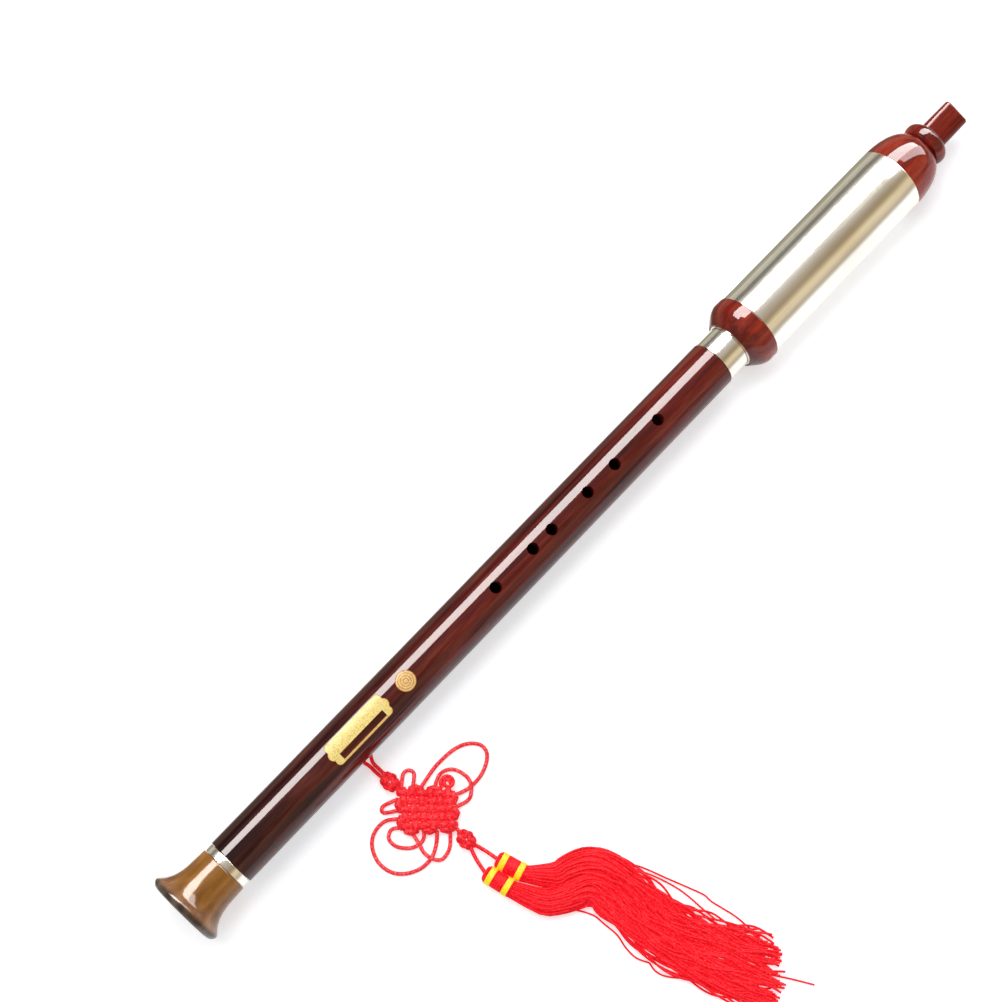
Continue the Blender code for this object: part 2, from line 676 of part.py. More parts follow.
def tassel_head(key, start, end):
    """A wound head with a rounded top and a groove under each yellow band."""
    level = HEAD_RADIUS + BAND_PROUD + TABLE_GAP
    a = Vector((start[0] * MM, start[1] * MM, level))
    b = Vector((end[0] * MM, end[1] * MM, level))
    along = (b - a).normalized()
    place = Matrix.Translation(a) @ along.to_track_quat("Z", "Y").to_matrix().to_4x4()
    core = HEAD_RADIUS - 0.3 * MM
    first = 2.2 * MM
    second = HEAD_LENGTH - BAND_WIDTH - 0.9 * MM
    step = SEAT_GAP
    outer = [(0.0, HEAD_RADIUS * 0.5), (0.4 * MM, HEAD_RADIUS * 0.8), (1.1 * MM, HEAD_RADIUS * 0.95)]
    outer += [(first - 2 * step, HEAD_RADIUS)]
    for band in (first, second):
        outer += [(band - step, HEAD_RADIUS), (band - step, core)]
        outer += [(band + BAND_WIDTH + step, core), (band + BAND_WIDTH + step, HEAD_RADIUS)]
    outer += [(HEAD_LENGTH, HEAD_RADIUS)]
    turned(f"tassel_head_{key}", outer, None, RED, SMALL_SIDES, place=place)
    for number, band in enumerate((first, second), 1):
        inside = core + SLIDE_GAP
        outside = HEAD_RADIUS + BAND_PROUD
        ring = [(band, outside - 0.2 * MM), (band + 0.3 * MM, outside)]
        ring += [(band + BAND_WIDTH - 0.3 * MM, outside), (band + BAND_WIDTH, outside - 0.2 * MM)]
        hole = [(band, inside), (band + BAND_WIDTH, inside)]
        turned(f"tassel_band_{key}{number}", ring, hole, YELLOW, SMALL_SIDES, place=place)
    return a, along


def thread_ring(shape, middle, side, half_width, half_height, ahead, frayed):
    """One section of a bundle: an upright ellipse with a groove between threads."""
    ring = []
    around = 4 * THREAD_RIBS
    for k in range(around):
        angle = 2 * math.pi * k / around
        size = 1 - THREAD_GROOVE * (k % 2)
        off = side * (math.cos(angle) * half_width * size)
        fray = ahead * (frayed * math.sin(7.3 * k) * abs(math.cos(2.1 * k)))
        lift = Vector((0, 0, TABLE_GAP + half_height + math.sin(angle) * half_height * size))
        ring.append(shape.verts.new(middle + off + fray + lift))
    return ring


def threads(key, start, along):
    """A bundle of threads: an S on the table, flatter and wider to its frayed end."""
    sign = 1 if key == "a" else -1
    path = smooth_route([(x, y, w) for (x, y), w in zip(THREAD_PATH, THREAD_SPREAD)], THREAD_SECTIONS)
    mesh = bpy.data.meshes.new(f"tassel_threads_{key}")
    shape = bmesh.new()
    flat_along = Vector((along.x, along.y, 0)).normalized()
    begin = start + along * (HEAD_LENGTH + SEAT_GAP)
    across_head = Vector((-flat_along.y, flat_along.x, 0)) * sign
    top = HEAD_RADIUS
    first_middle = Vector((begin.x, begin.y, 0))
    rings = [thread_ring(shape, first_middle, across_head, HEAD_RADIUS, top, flat_along, 0)]
    for i in range(2, len(path)):
        x, y, spread = path[i]
        before = path[i - 1]
        after = path[min(i + 1, len(path) - 1)]
        ahead = Vector((after[0] - before[0], after[1] - before[1], 0)).normalized()
        side = Vector((-ahead.y, ahead.x, 0)) * sign
        share = i / (len(path) - 1)
        half_height = top + (THREAD_END_THICK / 2 - top) * share**0.8
        middle = (Vector((x, y, 0)) + side * (spread / 4 + 0.25)) * MM
        frayed = THREAD_FRAY if i == len(path) - 1 else 0
        rings.append(thread_ring(shape, middle, side, spread / 4 * MM, half_height, ahead, frayed))
    for first, second in zip(rings, rings[1:]):
        for k in range(len(first)):
            n = (k + 1) % len(first)
            shape.faces.new((first[k], first[n], second[n], second[k]))
    for ring in (rings[0], rings[-1]):
        hub = shape.verts.new(sum((v.co for v in ring), Vector()) / len(ring))
        for k in range(len(ring)):
            shape.faces.new((ring[k], ring[(k + 1) % len(ring)], hub))
    bmesh.ops.recalc_face_normals(shape, faces=shape.faces)
    shape.to_mesh(mesh)
    shape.free()
    add_object(f"tassel_threads_{key}", mesh, RED)


def tassel():
    hanging_cord()
    button_knot("upper_button_knot", UPPER_KNOT)
    endless_knot()
    ears()
    button_knot("lower_button_knot", LOWER_KNOT)
    height = TABLE_GAP + BUTTON_RADIUS * 0.72
    knot = Vector((LOWER_KNOT[0] * MM, LOWER_KNOT[1] * MM, height))
    corner = Vector((KNOT_CORNERS[2][0] * MM, KNOT_CORNERS[2][1] * MM, TABLE_GAP + KNOT_THICK / 2))
    down = (knot - corner).normalized()
    reach = BUTTON_RADIUS + SEAT_GAP
    neck = [corner + down * 2 * SEAT_GAP, (corner + knot - down * reach) / 2, knot - down * reach]
    cord("knot_neck_cord", neck, 4)
    for key, (start, end) in HEADS.items():
        top, along = tassel_head(key, start, end)
        threads(key, top, along)
        aim = (top - knot).normalized()
        leave = knot + aim * reach
        arrive = top - along * SEAT_GAP
        bow = (leave + arrive) / 2 + Vector((0.4 * MM if key == "a" else -0.4 * MM, 0, -0.6 * MM))
        cord(f"tassel_cord_{key}", [leave, bow, arrive], 7)


def build():
    horn_bell()
    bell_ferrule()
    body_tube()
    tenon_sleeve()
    head_collar()
    socket_liner()
    wind_barrel()
    barrel_dome()
    reed_tube()
    reed_tube_stopper()
    reed()
    mouthpiece()
    mouthpiece_cork()
    tassel()
    bpy.context.view_layer.update()


build()
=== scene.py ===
"""The looks of a bawu: a free-reed pipe of lacquered wood with a horn bell and a red tassel.

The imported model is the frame. Lengths are in metres, and a station is a length along the pipe
from the bell's open end, in millimetres.
"""

import math
import random

import bmesh
import bpy
import numpy as np
from mathutils import Matrix, Vector


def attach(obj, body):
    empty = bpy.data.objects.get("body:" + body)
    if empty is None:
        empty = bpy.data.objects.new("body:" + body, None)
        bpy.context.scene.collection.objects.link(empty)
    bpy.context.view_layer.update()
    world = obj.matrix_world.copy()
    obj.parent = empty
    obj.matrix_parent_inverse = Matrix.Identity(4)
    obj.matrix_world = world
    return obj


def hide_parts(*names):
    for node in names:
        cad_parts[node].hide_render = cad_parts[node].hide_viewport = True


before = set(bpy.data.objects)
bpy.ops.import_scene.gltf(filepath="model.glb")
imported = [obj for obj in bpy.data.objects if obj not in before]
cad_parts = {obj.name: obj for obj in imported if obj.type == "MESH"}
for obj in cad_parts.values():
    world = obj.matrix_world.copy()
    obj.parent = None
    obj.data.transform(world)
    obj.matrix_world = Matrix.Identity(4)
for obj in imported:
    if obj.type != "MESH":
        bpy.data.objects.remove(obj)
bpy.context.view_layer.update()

MM = 0.001
HALF_LENGTH = 288.0
AXIS_Z = 20.0
SIDES = 144
LOWER, HEAD, MOUTH = "lower_joint", "head_joint", "mouthpiece_body"


# Camera, floor and light


def add_camera():
    data = bpy.data.cameras.new("camera")
    data.lens = 71.86
    data.sensor_width = 36.0
    data.clip_start = 0.01
    camera = bpy.data.objects.new("camera", data)
    camera.location = (-0.2497, -0.1714, 0.9829)
    camera.rotation_euler = (math.radians(16.93), 0, math.radians(-46.88))
    bpy.context.scene.collection.objects.link(camera)
    bpy.context.scene.camera = camera


def new_tree(holder):
    holder.use_nodes = True
    holder.node_tree.nodes.clear()
    return holder.node_tree


def add_floor():
    mesh = bpy.data.meshes.new("floor")
    reach = 6.0
    corners = [(-reach, -reach), (reach, -reach), (reach, reach), (-reach, reach)]
    mesh.from_pydata([(x, y, -0.00005) for x, y in corners], [], [(0, 1, 2, 3)])
    floor = bpy.data.objects.new("floor", mesh)
    bpy.context.scene.collection.objects.link(floor)
    surface = bpy.data.materials.new("floor paper")
    tree = new_tree(surface)
    nodes, links = tree.nodes, tree.links
    out = nodes.new("ShaderNodeOutputMaterial")
    paper = nodes.new("ShaderNodeBsdfDiffuse")
    paper.inputs["Color"].default_value = (0.8, 0.8, 0.81, 1)
    glow = nodes.new("ShaderNodeEmission")
    rays = nodes.new("ShaderNodeLightPath")
    seen = nodes.new("ShaderNodeMath")
    seen.operation = "MAXIMUM"
    more = nodes.new("ShaderNodeMath")
    more.operation = "MAXIMUM"
    share = nodes.new("ShaderNodeMath")
    share.operation = "MULTIPLY"
    share.inputs[1].default_value = 0.48
    both = nodes.new("ShaderNodeAddShader")
    links.new(rays.outputs["Is Camera Ray"], seen.inputs[0])
    links.new(rays.outputs["Is Glossy Ray"], seen.inputs[1])
    links.new(seen.outputs[0], more.inputs[0])
    links.new(rays.outputs["Is Transmission Ray"], more.inputs[1])
    links.new(more.outputs[0], share.inputs[0])
    links.new(share.outputs[0], glow.inputs["Strength"])
    links.new(paper.outputs[0], both.inputs[0])
    links.new(glow.outputs[0], both.inputs[1])
    links.new(both.outputs[0], out.inputs["Surface"])
    mesh.materials.append(surface)


def add_world():
    """White to the camera, plain grey for soft light, and for reflections a studio with tan walls."""
    world = bpy.data.worlds.new("studio")
    bpy.context.scene.world = world
    tree = new_tree(world)
    nodes, links = tree.nodes, tree.links
    out = nodes.new("ShaderNodeOutputWorld")
    place = nodes.new("ShaderNodeTexCoord")
    split = nodes.new("ShaderNodeSeparateXYZ")
    turn = nodes.new("ShaderNodeMath")
    turn.operation = "ARCTAN2"
    scale = nodes.new("ShaderNodeMapRange")
    scale.inputs["From Min"].default_value = -math.pi
    scale.inputs["From Max"].default_value = math.pi
    ramp = nodes.new("ShaderNodeValToRGB")
    stops = [
        (-180, (0.50, 0.48, 0.42)),
        (-92, (0.50, 0.48, 0.42)),
        (-84, (0.17, 0.16, 0.13)),
        (-74, (0.13, 0.12, 0.10)),
        (-62, (0.45, 0.44, 0.40)),
        (2, (0.50, 0.47, 0.43)),
        (16, (0.46, 0.40, 0.32)),
        (28, (0.36, 0.29, 0.19)),
        (40, (0.38, 0.30, 0.18)),
        (52, (0.84, 0.70, 0.46)),
        (66, (0.78, 0.67, 0.49)),
        (82, (0.46, 0.40, 0.31)),
        (92, (0.95, 0.93, 0.88)),
        (180, (0.95, 0.95, 0.95)),
    ]
    while len(ramp.color_ramp.elements) < len(stops):
        ramp.color_ramp.elements.new(0.5)
    for element, (degrees, colour) in zip(ramp.color_ramp.elements, stops):
        element.position = (degrees + 180) / 360
        element.color = (*colour, 1)
    links.new(place.outputs["Generated"], split.inputs[0])
    flip = nodes.new("ShaderNodeMath")
    flip.operation = "MULTIPLY"
    flip.inputs[1].default_value = -1
    links.new(split.outputs["Y"], flip.inputs[0])
    links.new(flip.outputs[0], turn.inputs[0])
    links.new(split.outputs["Z"], turn.inputs[1])
    links.new(turn.outputs[0], scale.inputs["Value"])
    links.new(scale.outputs["Result"], ramp.inputs["Fac"])
    soft = nodes.new("ShaderNodeBackground")
    soft.inputs["Color"].default_value = (0.95, 0.97, 1.0, 1)
    soft.inputs["Strength"].default_value = 0.55
    mirror = nodes.new("ShaderNodeBackground")
    links.new(ramp.outputs["Color"], mirror.inputs["Color"])
    white = nodes.new("ShaderNodeBackground")
    white.inputs["Color"].default_value = (1, 1, 1, 1)
    rays = nodes.new("ShaderNodeLightPath")
    first = nodes.new("ShaderNodeMixShader")
    second = nodes.new("ShaderNodeMixShader")
    links.new(rays.outputs["Is Glossy Ray"], first.inputs["Fac"])
    links.new(soft.outputs[0], first.inputs[1])
    links.new(mirror.outputs[0], first.inputs[2])
    links.new(rays.outputs["Is Camera Ray"], second.inputs["Fac"])
    links.new(first.outputs[0], second.inputs[1])
    links.new(white.outputs[0], second.inputs[2])
    links.new(second.outputs[0], out.inputs["Surface"])


def add_card(name, corners, stops, strength):
    """A card that only reflections see. stops are colours along its first edge."""
    mesh = bpy.data.meshes.new(name)
    mesh.from_pydata(corners, [], [(0, 1, 2, 3)])
    across = mesh.uv_layers.new(name="across")
    for loop, uv in zip(across.data, ((0, 0), (1, 0), (1, 1), (0, 1))):
        loop.uv = uv
    card = bpy.data.objects.new(name, mesh)
    bpy.context.scene.collection.objects.link(card)
    card.visible_camera = False
    card.visible_diffuse = False
    card.visible_shadow = False
    card.visible_transmission = False
    card.visible_volume_scatter = False
    surface = bpy.data.materials.new(name)
    tree = new_tree(surface)
    nodes, links = tree.nodes, tree.links
    out = nodes.new("ShaderNodeOutputMaterial")
    glow = nodes.new("ShaderNodeEmission")
    glow.inputs["Strength"].default_value = strength
    place = nodes.new("ShaderNodeUVMap")
    split = nodes.new("ShaderNodeSeparateXYZ")
    ramp = nodes.new("ShaderNodeValToRGB")
    while len(ramp.color_ramp.elements) < len(stops):
        ramp.color_ramp.elements.new(0.5)
    for element, (at, colour) in zip(ramp.color_ramp.elements, stops):
        element.position = at
        element.color = (*colour, 1)
    links.new(place.outputs[0], split.inputs[0])
    links.new(split.outputs["X"], ramp.inputs["Fac"])
    links.new(ramp.outputs["Color"], glow.inputs["Color"])
    links.new(glow.outputs[0], out.inputs["Surface"])
    mesh.materials.append(surface)


def add_cards():
    """The window whose light runs down the pipe, and a tan sheet low behind it for the metal."""
    reach = 2.0
    white = (1.0, 0.97, 0.95)
    window = [(0.6, -15), (0.6, -51), (7.0, -51), (7.0, -15)]
    narrow = [(-0.95, -30), (-0.95, -51), (0.6, -51), (0.6, -15)]
    slanted = [(1.5, 2), (1.5, -14.5), (9.0, -14.5), (9.0, 58)]
    for name, places, strength in (("window card", window, 21), ("window end card", narrow, 21), ("dome card", slanted, 11)):
        corners = [(x, -reach * math.tan(math.radians(angle)), 0.02 + reach) for x, angle in places]
        add_card(name, corners, [(0.0, white), (1.0, white)], strength)
    corners = [(-1.2, 0.034, 0.0006), (-1.2, 1.2, 0.0006), (1.2, 1.2, 0.0006), (1.2, 0.034, 0.0006)]
    near, mid, far = (0.34, 0.33, 0.26), (0.62, 0.60, 0.50), (0.42, 0.40, 0.33)
    add_card("table card", corners, [(0.0, near), (0.03, near), (0.06, mid), (0.12, mid), (0.3, far)], 1.0)


def add_lamp(name, place, aim, size, power, colour=(1, 1, 1)):
    data = bpy.data.lights.new(name, "AREA")
    data.shape = "RECTANGLE"
    data.size, data.size_y = size
    data.energy = power
    data.color = colour
    lamp = bpy.data.objects.new(name, data)
    lamp.location = place
    forward = (Vector(aim) - Vector(place)).normalized()
    lamp.rotation_euler = forward.to_track_quat("-Z", "Y").to_euler()
    lamp.visible_glossy = False
    bpy.context.scene.collection.objects.link(lamp)


# Materials


class Look:
    """A material being made, with short names for the nodes that these need."""

    def __init__(self, name, colour, roughness, metallic=0.0, **more):
        self.material = bpy.data.materials.new(name)
        self.material.use_nodes = True
        self.tree = self.material.node_tree
        self.shader = self.tree.nodes["Principled BSDF"]
        self.set("Base Color", (*colour, 1))
        self.set("Roughness", roughness)
        self.set("Metallic", metallic)
        for socket, value in more.items():
            self.set(socket.replace("_", " "), value)

    def set(self, socket, value):
        self.shader.inputs[socket].default_value = value

    def node(self, kind, **values):
        made = self.tree.nodes.new("ShaderNode" + kind)
        for key, value in values.items():
            if key in made.inputs:
                made.inputs[key].default_value = value
            else:
                setattr(made, key, value)
        return made

    def link(self, start, end):
        self.tree.links.new(start, end)

    def place(self, scale):
        """Coordinates in the pipe's frame, stretched by scale."""
        source = self.node("TexCoord")
        stretch = self.node("Mapping", Scale=scale)
        self.link(source.outputs["Object"], stretch.inputs["Vector"])
        return stretch.outputs["Vector"]

    def along(self):
        """The X coordinate in the pipe's frame."""
        source, split = self.node("TexCoord"), self.node("SeparateXYZ")
        self.link(source.outputs["Object"], split.inputs[0])
        return split.outputs["X"]

    def noise(self, scale, detail=3.0, roughness=0.5, distortion=0.0):
        made = self.node("TexNoise", Scale=1.0, Detail=detail, Roughness=roughness, Distortion=distortion)
        self.link(self.place(scale), made.inputs["Vector"])
        return made.outputs["Fac"]

    def ramp(self, source, stops):
        made = self.node("ValToRGB")
        while len(made.color_ramp.elements) < len(stops):
            made.color_ramp.elements.new(0.5)
        for element, (at, colour) in zip(made.color_ramp.elements, stops):
            element.position = at
            element.color = (*colour, 1)
        self.link(source, made.inputs["Fac"])
        return made.outputs["Color"]

    def mix(self, share, first, second, blend="MIX"):
        made = self.node("Mix", data_type="RGBA", blend_type=blend)
        for socket, value in ((made.inputs["Factor"], share), (made.inputs[6], first), (made.inputs[7], second)):
            if hasattr(value, "links"):
                self.link(value, socket)
            else:
                socket.default_value = value
        return made.outputs[2]

    def scaled(self, source, low, high, start=0.0, stop=1.0):
        made = self.node("MapRange")
        for key, value in (("From Min", start), ("From Max", stop), ("To Min", low), ("To Max", high)):
            made.inputs[key].default_value = value
        self.link(source, made.inputs["Value"])
        return made.outputs["Result"]

    def colour(self, source):
        self.link(source, self.shader.inputs["Base Color"])

    def rough(self, source, low, high):
        self.link(self.scaled(source, low, high), self.shader.inputs["Roughness"])

    def bump(self, source, strength, distance):
        made = self.node("Bump", Strength=strength, Distance=distance)
        self.link(source, made.inputs["Height"])
        self.link(made.outputs["Normal"], self.shader.inputs["Normal"])


LACQUER = dict(Specular_IOR_Level=0.0, Coat_Weight=0.78, Coat_Roughness=0.05, Coat_IOR=1.5)


def lacquered_wood(name, dark, middle, light, painted_shade_span=None):
    """The last argument is a stretch of X, in metres, over which painted shade and painted dark reflection take the
    wood from its darkest tone to its own.
    """
    look = Look(name, middle, 0.4, **LACQUER)
    streaks = look.noise((16, 210, 210), detail=5, roughness=0.62, distortion=0.35)
    patches = look.noise((7, 42, 42), detail=2)
    fine = look.noise((60, 1500, 1500), detail=2)
    base = look.ramp(streaks, [(0.30, dark), (0.48, middle), (0.66, light)])
    shade = look.ramp(patches, [(0.35, (0.70, 0.62, 0.60)), (0.62, (1.0, 1.0, 1.0))])
    pores = look.ramp(fine, [(0.34, (0.72, 0.66, 0.64)), (0.44, (1.0, 1.0, 1.0))])
    colour = look.mix(1.0, look.mix(1.0, base, shade, "MULTIPLY"), pores, "MULTIPLY")
    # Painted shade and painted dark reflection: the wood darkens towards the low end of that stretch.
    if painted_shade_span:
        share = look.scaled(look.along(), 0.25, 1.0, *painted_shade_span)
        colour = look.mix(share, tuple(0.25 * c for c in dark) + (1,), colour)
    look.colour(colour)
    return look.material


def body_wood():
    """Nearly black-brown by the bell and redder towards the head."""
    look = Look("body wood", (0.05, 0.008, 0.009), 0.4, **LACQUER)
    share = look.scaled(look.along(), 0.0, 1.0, -0.26, 0.10)
    streaks = look.noise((16, 210, 210), detail=5, roughness=0.62, distortion=0.35)
    patches = look.noise((9, 48, 48), detail=2)
    fine = look.noise((60, 1500, 1500), detail=2)
    low = [(0.34, (0.010, 0.002, 0.003)), (0.5, (0.040, 0.005, 0.005)), (0.66, (0.105, 0.022, 0.014))]
    high = [(0.32, (0.060, 0.006, 0.005)), (0.5, (0.215, 0.016, 0.011)), (0.68, (0.370, 0.050, 0.030))]
    shade = look.ramp(patches, [(0.36, (0.55, 0.52, 0.52)), (0.60, (1.0, 1.0, 1.0))])
    pores = look.ramp(fine, [(0.34, (0.70, 0.66, 0.66)), (0.44, (1.0, 1.0, 1.0))])
    base = look.mix(share, look.ramp(streaks, low), look.ramp(streaks, high))
    look.colour(look.mix(1.0, look.mix(1.0, base, shade, "MULTIPLY"), pores, "MULTIPLY"))
    return look.material


def nickel_silver(name="nickel silver"):
    look = Look(name, (0.80, 0.76, 0.68), 0.2, 1.0)
    lines = look.noise((14, 3200, 3200), detail=3, roughness=0.6)
    cloud = look.noise((30, 60, 60), detail=2)
    worn = look.mix(1.0, look.ramp(lines, [(0.3, (0.84, 0.81, 0.75)), (0.7, (0.95, 0.92, 0.86))]),
                    look.ramp(cloud, [(0.35, (0.93, 0.91, 0.88)), (0.65, (1.0, 1.0, 1.0))]), "MULTIPLY")
    look.colour(worn)
    look.rough(lines, 0.13, 0.20)
    look.bump(lines, 0.06, 0.00005)
    return look.material


def horn():
    look = Look("horn", (0.30, 0.12, 0.02), 0.3, Subsurface_Weight=0.08, **LACQUER)
    look.set("Coat Weight", 0.85)
    look.set("Coat Roughness", 0.13)
    look.set("Subsurface Radius", (0.004, 0.002, 0.001))
    look.set("Subsurface Scale", 0.6)
    streaks = look.noise((18, 150, 150), detail=4, distortion=0.5)
    cloud = look.noise((45, 55, 55), detail=3)
    base = look.ramp(streaks, [(0.32, (0.20, 0.075, 0.012)), (0.5, (0.33, 0.135, 0.022)), (0.68, (0.46, 0.22, 0.050))])
    shade = look.ramp(cloud, [(0.35, (0.74, 0.66, 0.58)), (0.62, (1.0, 1.0, 1.0))])
    rim = look.scaled(look.along(), 0.0, 1.0, -0.2852, -0.2832)
    flare = look.scaled(look.along(), 0.0, 1.0, -0.2838, -0.2770)
    grey = look.ramp(streaks, [(0.35, (0.040, 0.020, 0.012)), (0.65, (0.13, 0.090, 0.060))])
    brown = look.ramp(streaks, [(0.35, (0.26, 0.10, 0.035)), (0.65, (0.42, 0.21, 0.10))])
    wall = look.mix(flare, brown, look.mix(1.0, base, shade, "MULTIPLY"))
    look.colour(look.mix(rim, grey, wall))
    look.bump(streaks, 0.05, 0.0001)
    return look.material


def red_silk(name, colour, light, lines, sheen):
    """Satin red. lines is the stretch of the fine ribs."""
    look = Look(name, colour, 0.45, Specular_IOR_Level=0.06, Sheen_Weight=sheen, Sheen_Roughness=0.4)
    look.set("Sheen Tint", (1.0, 0.45, 0.45, 1))
    # Painted glow: a faint red emission makes the silk brighter and redder than the lamps alone light it.
    look.set("Emission Color", (1.0, 0.004, 0.014, 1))
    look.set("Emission Strength", 0.16)
    ribs = look.noise(lines, detail=2)
    wide = look.noise((90, 90, 90), detail=2)
    base = look.ramp(ribs, [(0.32, (0.86 * colour[0], 0.15 * colour[1], 0.4 * colour[2])), (0.5, colour), (0.66, light)])
    shade = look.ramp(wide, [(0.3, (0.92, 0.6, 0.7)), (0.6, (1.0, 1.0, 1.0))])
    look.colour(look.mix(1.0, base, shade, "MULTIPLY"))
    look.rough(ribs, 0.38, 0.55)
    look.bump(ribs, 0.15, 0.0001)
    return look.material


def yellow_thread():
    # Painted glow: a faint yellow emission brightens the thread beyond what the lamps give.
    look = Look("yellow thread", (1.0, 0.80, 0.01), 0.45, Specular_IOR_Level=0.2, Emission_Strength=0.12)
    look.set("Emission Color", (1.0, 0.75, 0.0, 1))
    ribs = look.noise((1800, 1800, 1800), detail=2)
    look.colour(look.ramp(ribs, [(0.32, (0.88, 0.52, 0.0)), (0.5, (1.0, 0.80, 0.01)), (0.7, (1.0, 0.93, 0.12))]))
    look.rough(ribs, 0.35, 0.55)
    look.bump(ribs, 0.3, 0.0002)
    return look.material


def gold_leaf(name, low, high):
    look = Look(name, high, 0.35, Specular_IOR_Level=0.15)
    specks = look.noise((1400, 1400, 1400), detail=3)
    cloud = look.noise((220, 220, 220), detail=2)
    share = look.scaled(cloud, 0.1, 0.6, 0.35, 0.65)
    look.colour(look.mix(share, look.ramp(specks, [(0.38, low), (0.55, high)]), (*high, 1)))
    look.bump(specks, 0.2, 0.00008)
    return look.material


def brass():
    look = Look("reed brass", (0.80, 0.60, 0.24), 0.3, 1.0)
    lines = look.noise((60, 2400, 2400), detail=3)
    look.colour(look.ramp(lines, [(0.35, (0.66, 0.47, 0.17)), (0.6, (0.86, 0.66, 0.28))]))
    look.rough(lines, 0.22, 0.4)
    return look.material


def cork():
    look = Look("cork", (0.45, 0.29, 0.16), 0.85)
    cells = look.noise((900, 900, 900), detail=3)
    look.colour(look.ramp(cells, [(0.36, (0.20, 0.11, 0.055)), (0.5, (0.45, 0.29, 0.16)), (0.66, (0.58, 0.42, 0.26))]))
    look.bump(cells, 0.4, 0.0003)
    return look.material


def binding_thread():
    look = Look("binding thread", (0.68, 0.60, 0.45), 0.7)
    ribs = look.noise((1500, 1500, 1500), detail=2)
    look.colour(look.ramp(ribs, [(0.35, (0.48, 0.41, 0.29)), (0.6, (0.74, 0.67, 0.52))]))
    look.bump(ribs, 0.3, 0.0002)
    return look.material


# Mesh helpers


def catmull(points, per):
    """Points on a smooth curve through the given ones, per to each stretch."""
    given = [np.array(p, float) for p in points]
    ends = [2 * given[0] - given[1], *given, 2 * given[-1] - given[-2]]
    fine = []
    for a, b, c, d in zip(ends, ends[1:], ends[2:], ends[3:]):
        for t in np.linspace(0, 1, per, endpoint=False):
            fine.append(0.5 * (2 * b + (c - a) * t + (2 * a - 5 * b + 4 * c - d) * t**2 + (3 * b - a - 3 * c + d) * t**3))
    return fine + [given[-1]]


def even(points, count):
    """count points evenly along a smooth curve through the given ones."""
    fine = np.array(catmull(points, 24))
    along = np.concatenate([[0], np.cumsum(np.linalg.norm(np.diff(fine, axis=0), axis=1))])
    at = np.linspace(0, along[-1], count)
    return np.stack([np.interp(at, along, fine[:, k]) for k in range(fine.shape[1])], axis=1)


def finish_piece(obj, look, body, replaces=()):
    obj.data.materials.clear()
    obj.data.materials.append(look)
    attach(obj, body)
    if replaces:
        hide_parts(*replaces)
    return obj


def new_object(name, data):
    obj = bpy.data.objects.new(name, data)
    bpy.context.scene.collection.objects.link(obj)
    return obj


def lathe_mesh(name, loop, sides=SIDES, place=None):
    """loop is a closed profile of (station, radius) in millimetres, seen from the pipe's side."""
    mesh = bpy.data.meshes.new(name)
    shape = bmesh.new()
    rings = []
    for station, radius in loop:
        ring = []
        for k in range(sides):
            angle = 2 * math.pi * (k + 0.5) / sides
            ring.append(shape.verts.new((station * MM, radius * math.cos(angle) * MM, radius * math.sin(angle) * MM)))
        rings.append(ring)
    for first, second in zip(rings, rings[1:] + rings[:1]):
        for k in range(sides):
            n = (k + 1) % sides
            shape.faces.new((first[k], first[n], second[n], second[k]))
    bmesh.ops.remove_doubles(shape, verts=shape.verts, dist=0.2e-6)
    bmesh.ops.recalc_face_normals(shape, faces=shape.faces)
    if place is None:
        place = Matrix.Translation((-HALF_LENGTH * MM, 0, AXIS_Z * MM))
    shape.transform(place)
    shape.to_mesh(mesh)
    shape.free()
    mesh.shade_smooth()
    mesh.set_sharp_from_angle(angle=math.radians(32))
    return mesh


def rounded(s, r, ds, dr, steps=4):
    """A quarter turn of an edge, from (s, r - dr) to (s + ds, r). ds is negative at a far end."""
    out = []
    for k in range(steps + 1):
        angle = math.pi / 2 * k / steps
        out.append((s + ds * (1 - math.cos(angle)), r - dr * (1 - math.sin(angle))))
    return out


def apply_modifiers(obj):
    graph = bpy.context.evaluated_depsgraph_get()
    mesh = bpy.data.meshes.new_from_object(obj.evaluated_get(graph))
    obj.modifiers.clear()
    obj.data = mesh


def boolean(obj, others, operation="DIFFERENCE"):
    for other in others:
        step = obj.modifiers.new(other.name, "BOOLEAN")
        step.operation = operation
        step.object = other
    bpy.context.view_layer.update()
    apply_modifiers(obj)
    for other in others:
        bpy.data.objects.remove(other, do_unlink=True)


def across(station, roll):
    """A frame on the axis whose Z points out of the pipe, turned from +Z towards -Y by roll degrees."""
    start = Matrix.Translation(((station - HALF_LENGTH) * MM, 0, AXIS_Z * MM))
    return start @ Matrix.Rotation(math.radians(roll), 4, "X")


def drill(station, roll, radius, length, sides=48):
    mesh = bpy.data.meshes.new("drill")
    shape = bmesh.new()
    bmesh.ops.create_cone(
        shape, cap_ends=True, segments=sides, radius1=radius * MM, radius2=radius * MM, depth=length * MM
    )
    bmesh.ops.translate(shape, vec=(0, 0, length / 2 * MM), verts=shape.verts)
    shape.to_mesh(mesh)
    shape.free()
    made = new_object("drill", mesh)
    made.matrix_world = across(station, roll)
    return made


def round_normals(mesh, radius):
    """True cylinder normals on the outer wall, so that the drilled holes don't disturb the gloss."""
    normals = []
    for polygon in mesh.polygons:
        face = polygon.normal
        for index in polygon.loop_indices:
            point = mesh.vertices[mesh.loops[index].vertex_index].co
            out = Vector((0, point.y, point.z - AXIS_Z * MM))
            near = abs(out.length - radius * MM) < 0.02 * MM
            out.normalize()
            normals.append(out if near and face.dot(out) > 0.9 else face)
    mesh.shade_smooth()
    mesh.normals_split_custom_set(normals)


# The pipe

BODY = dict(start=32.8, end=380.4, radius=13.0, bore=7.5, tenon=12.15, tenon_end=426.4, foot=20.3, foot_radius=10.6)
FINGER_HOLES = (215.4, 242.3, 255.9, 282.3, 302.3, 334.6)
HOLE_ROLL = 9
HOLE_RADIUS = 3.1


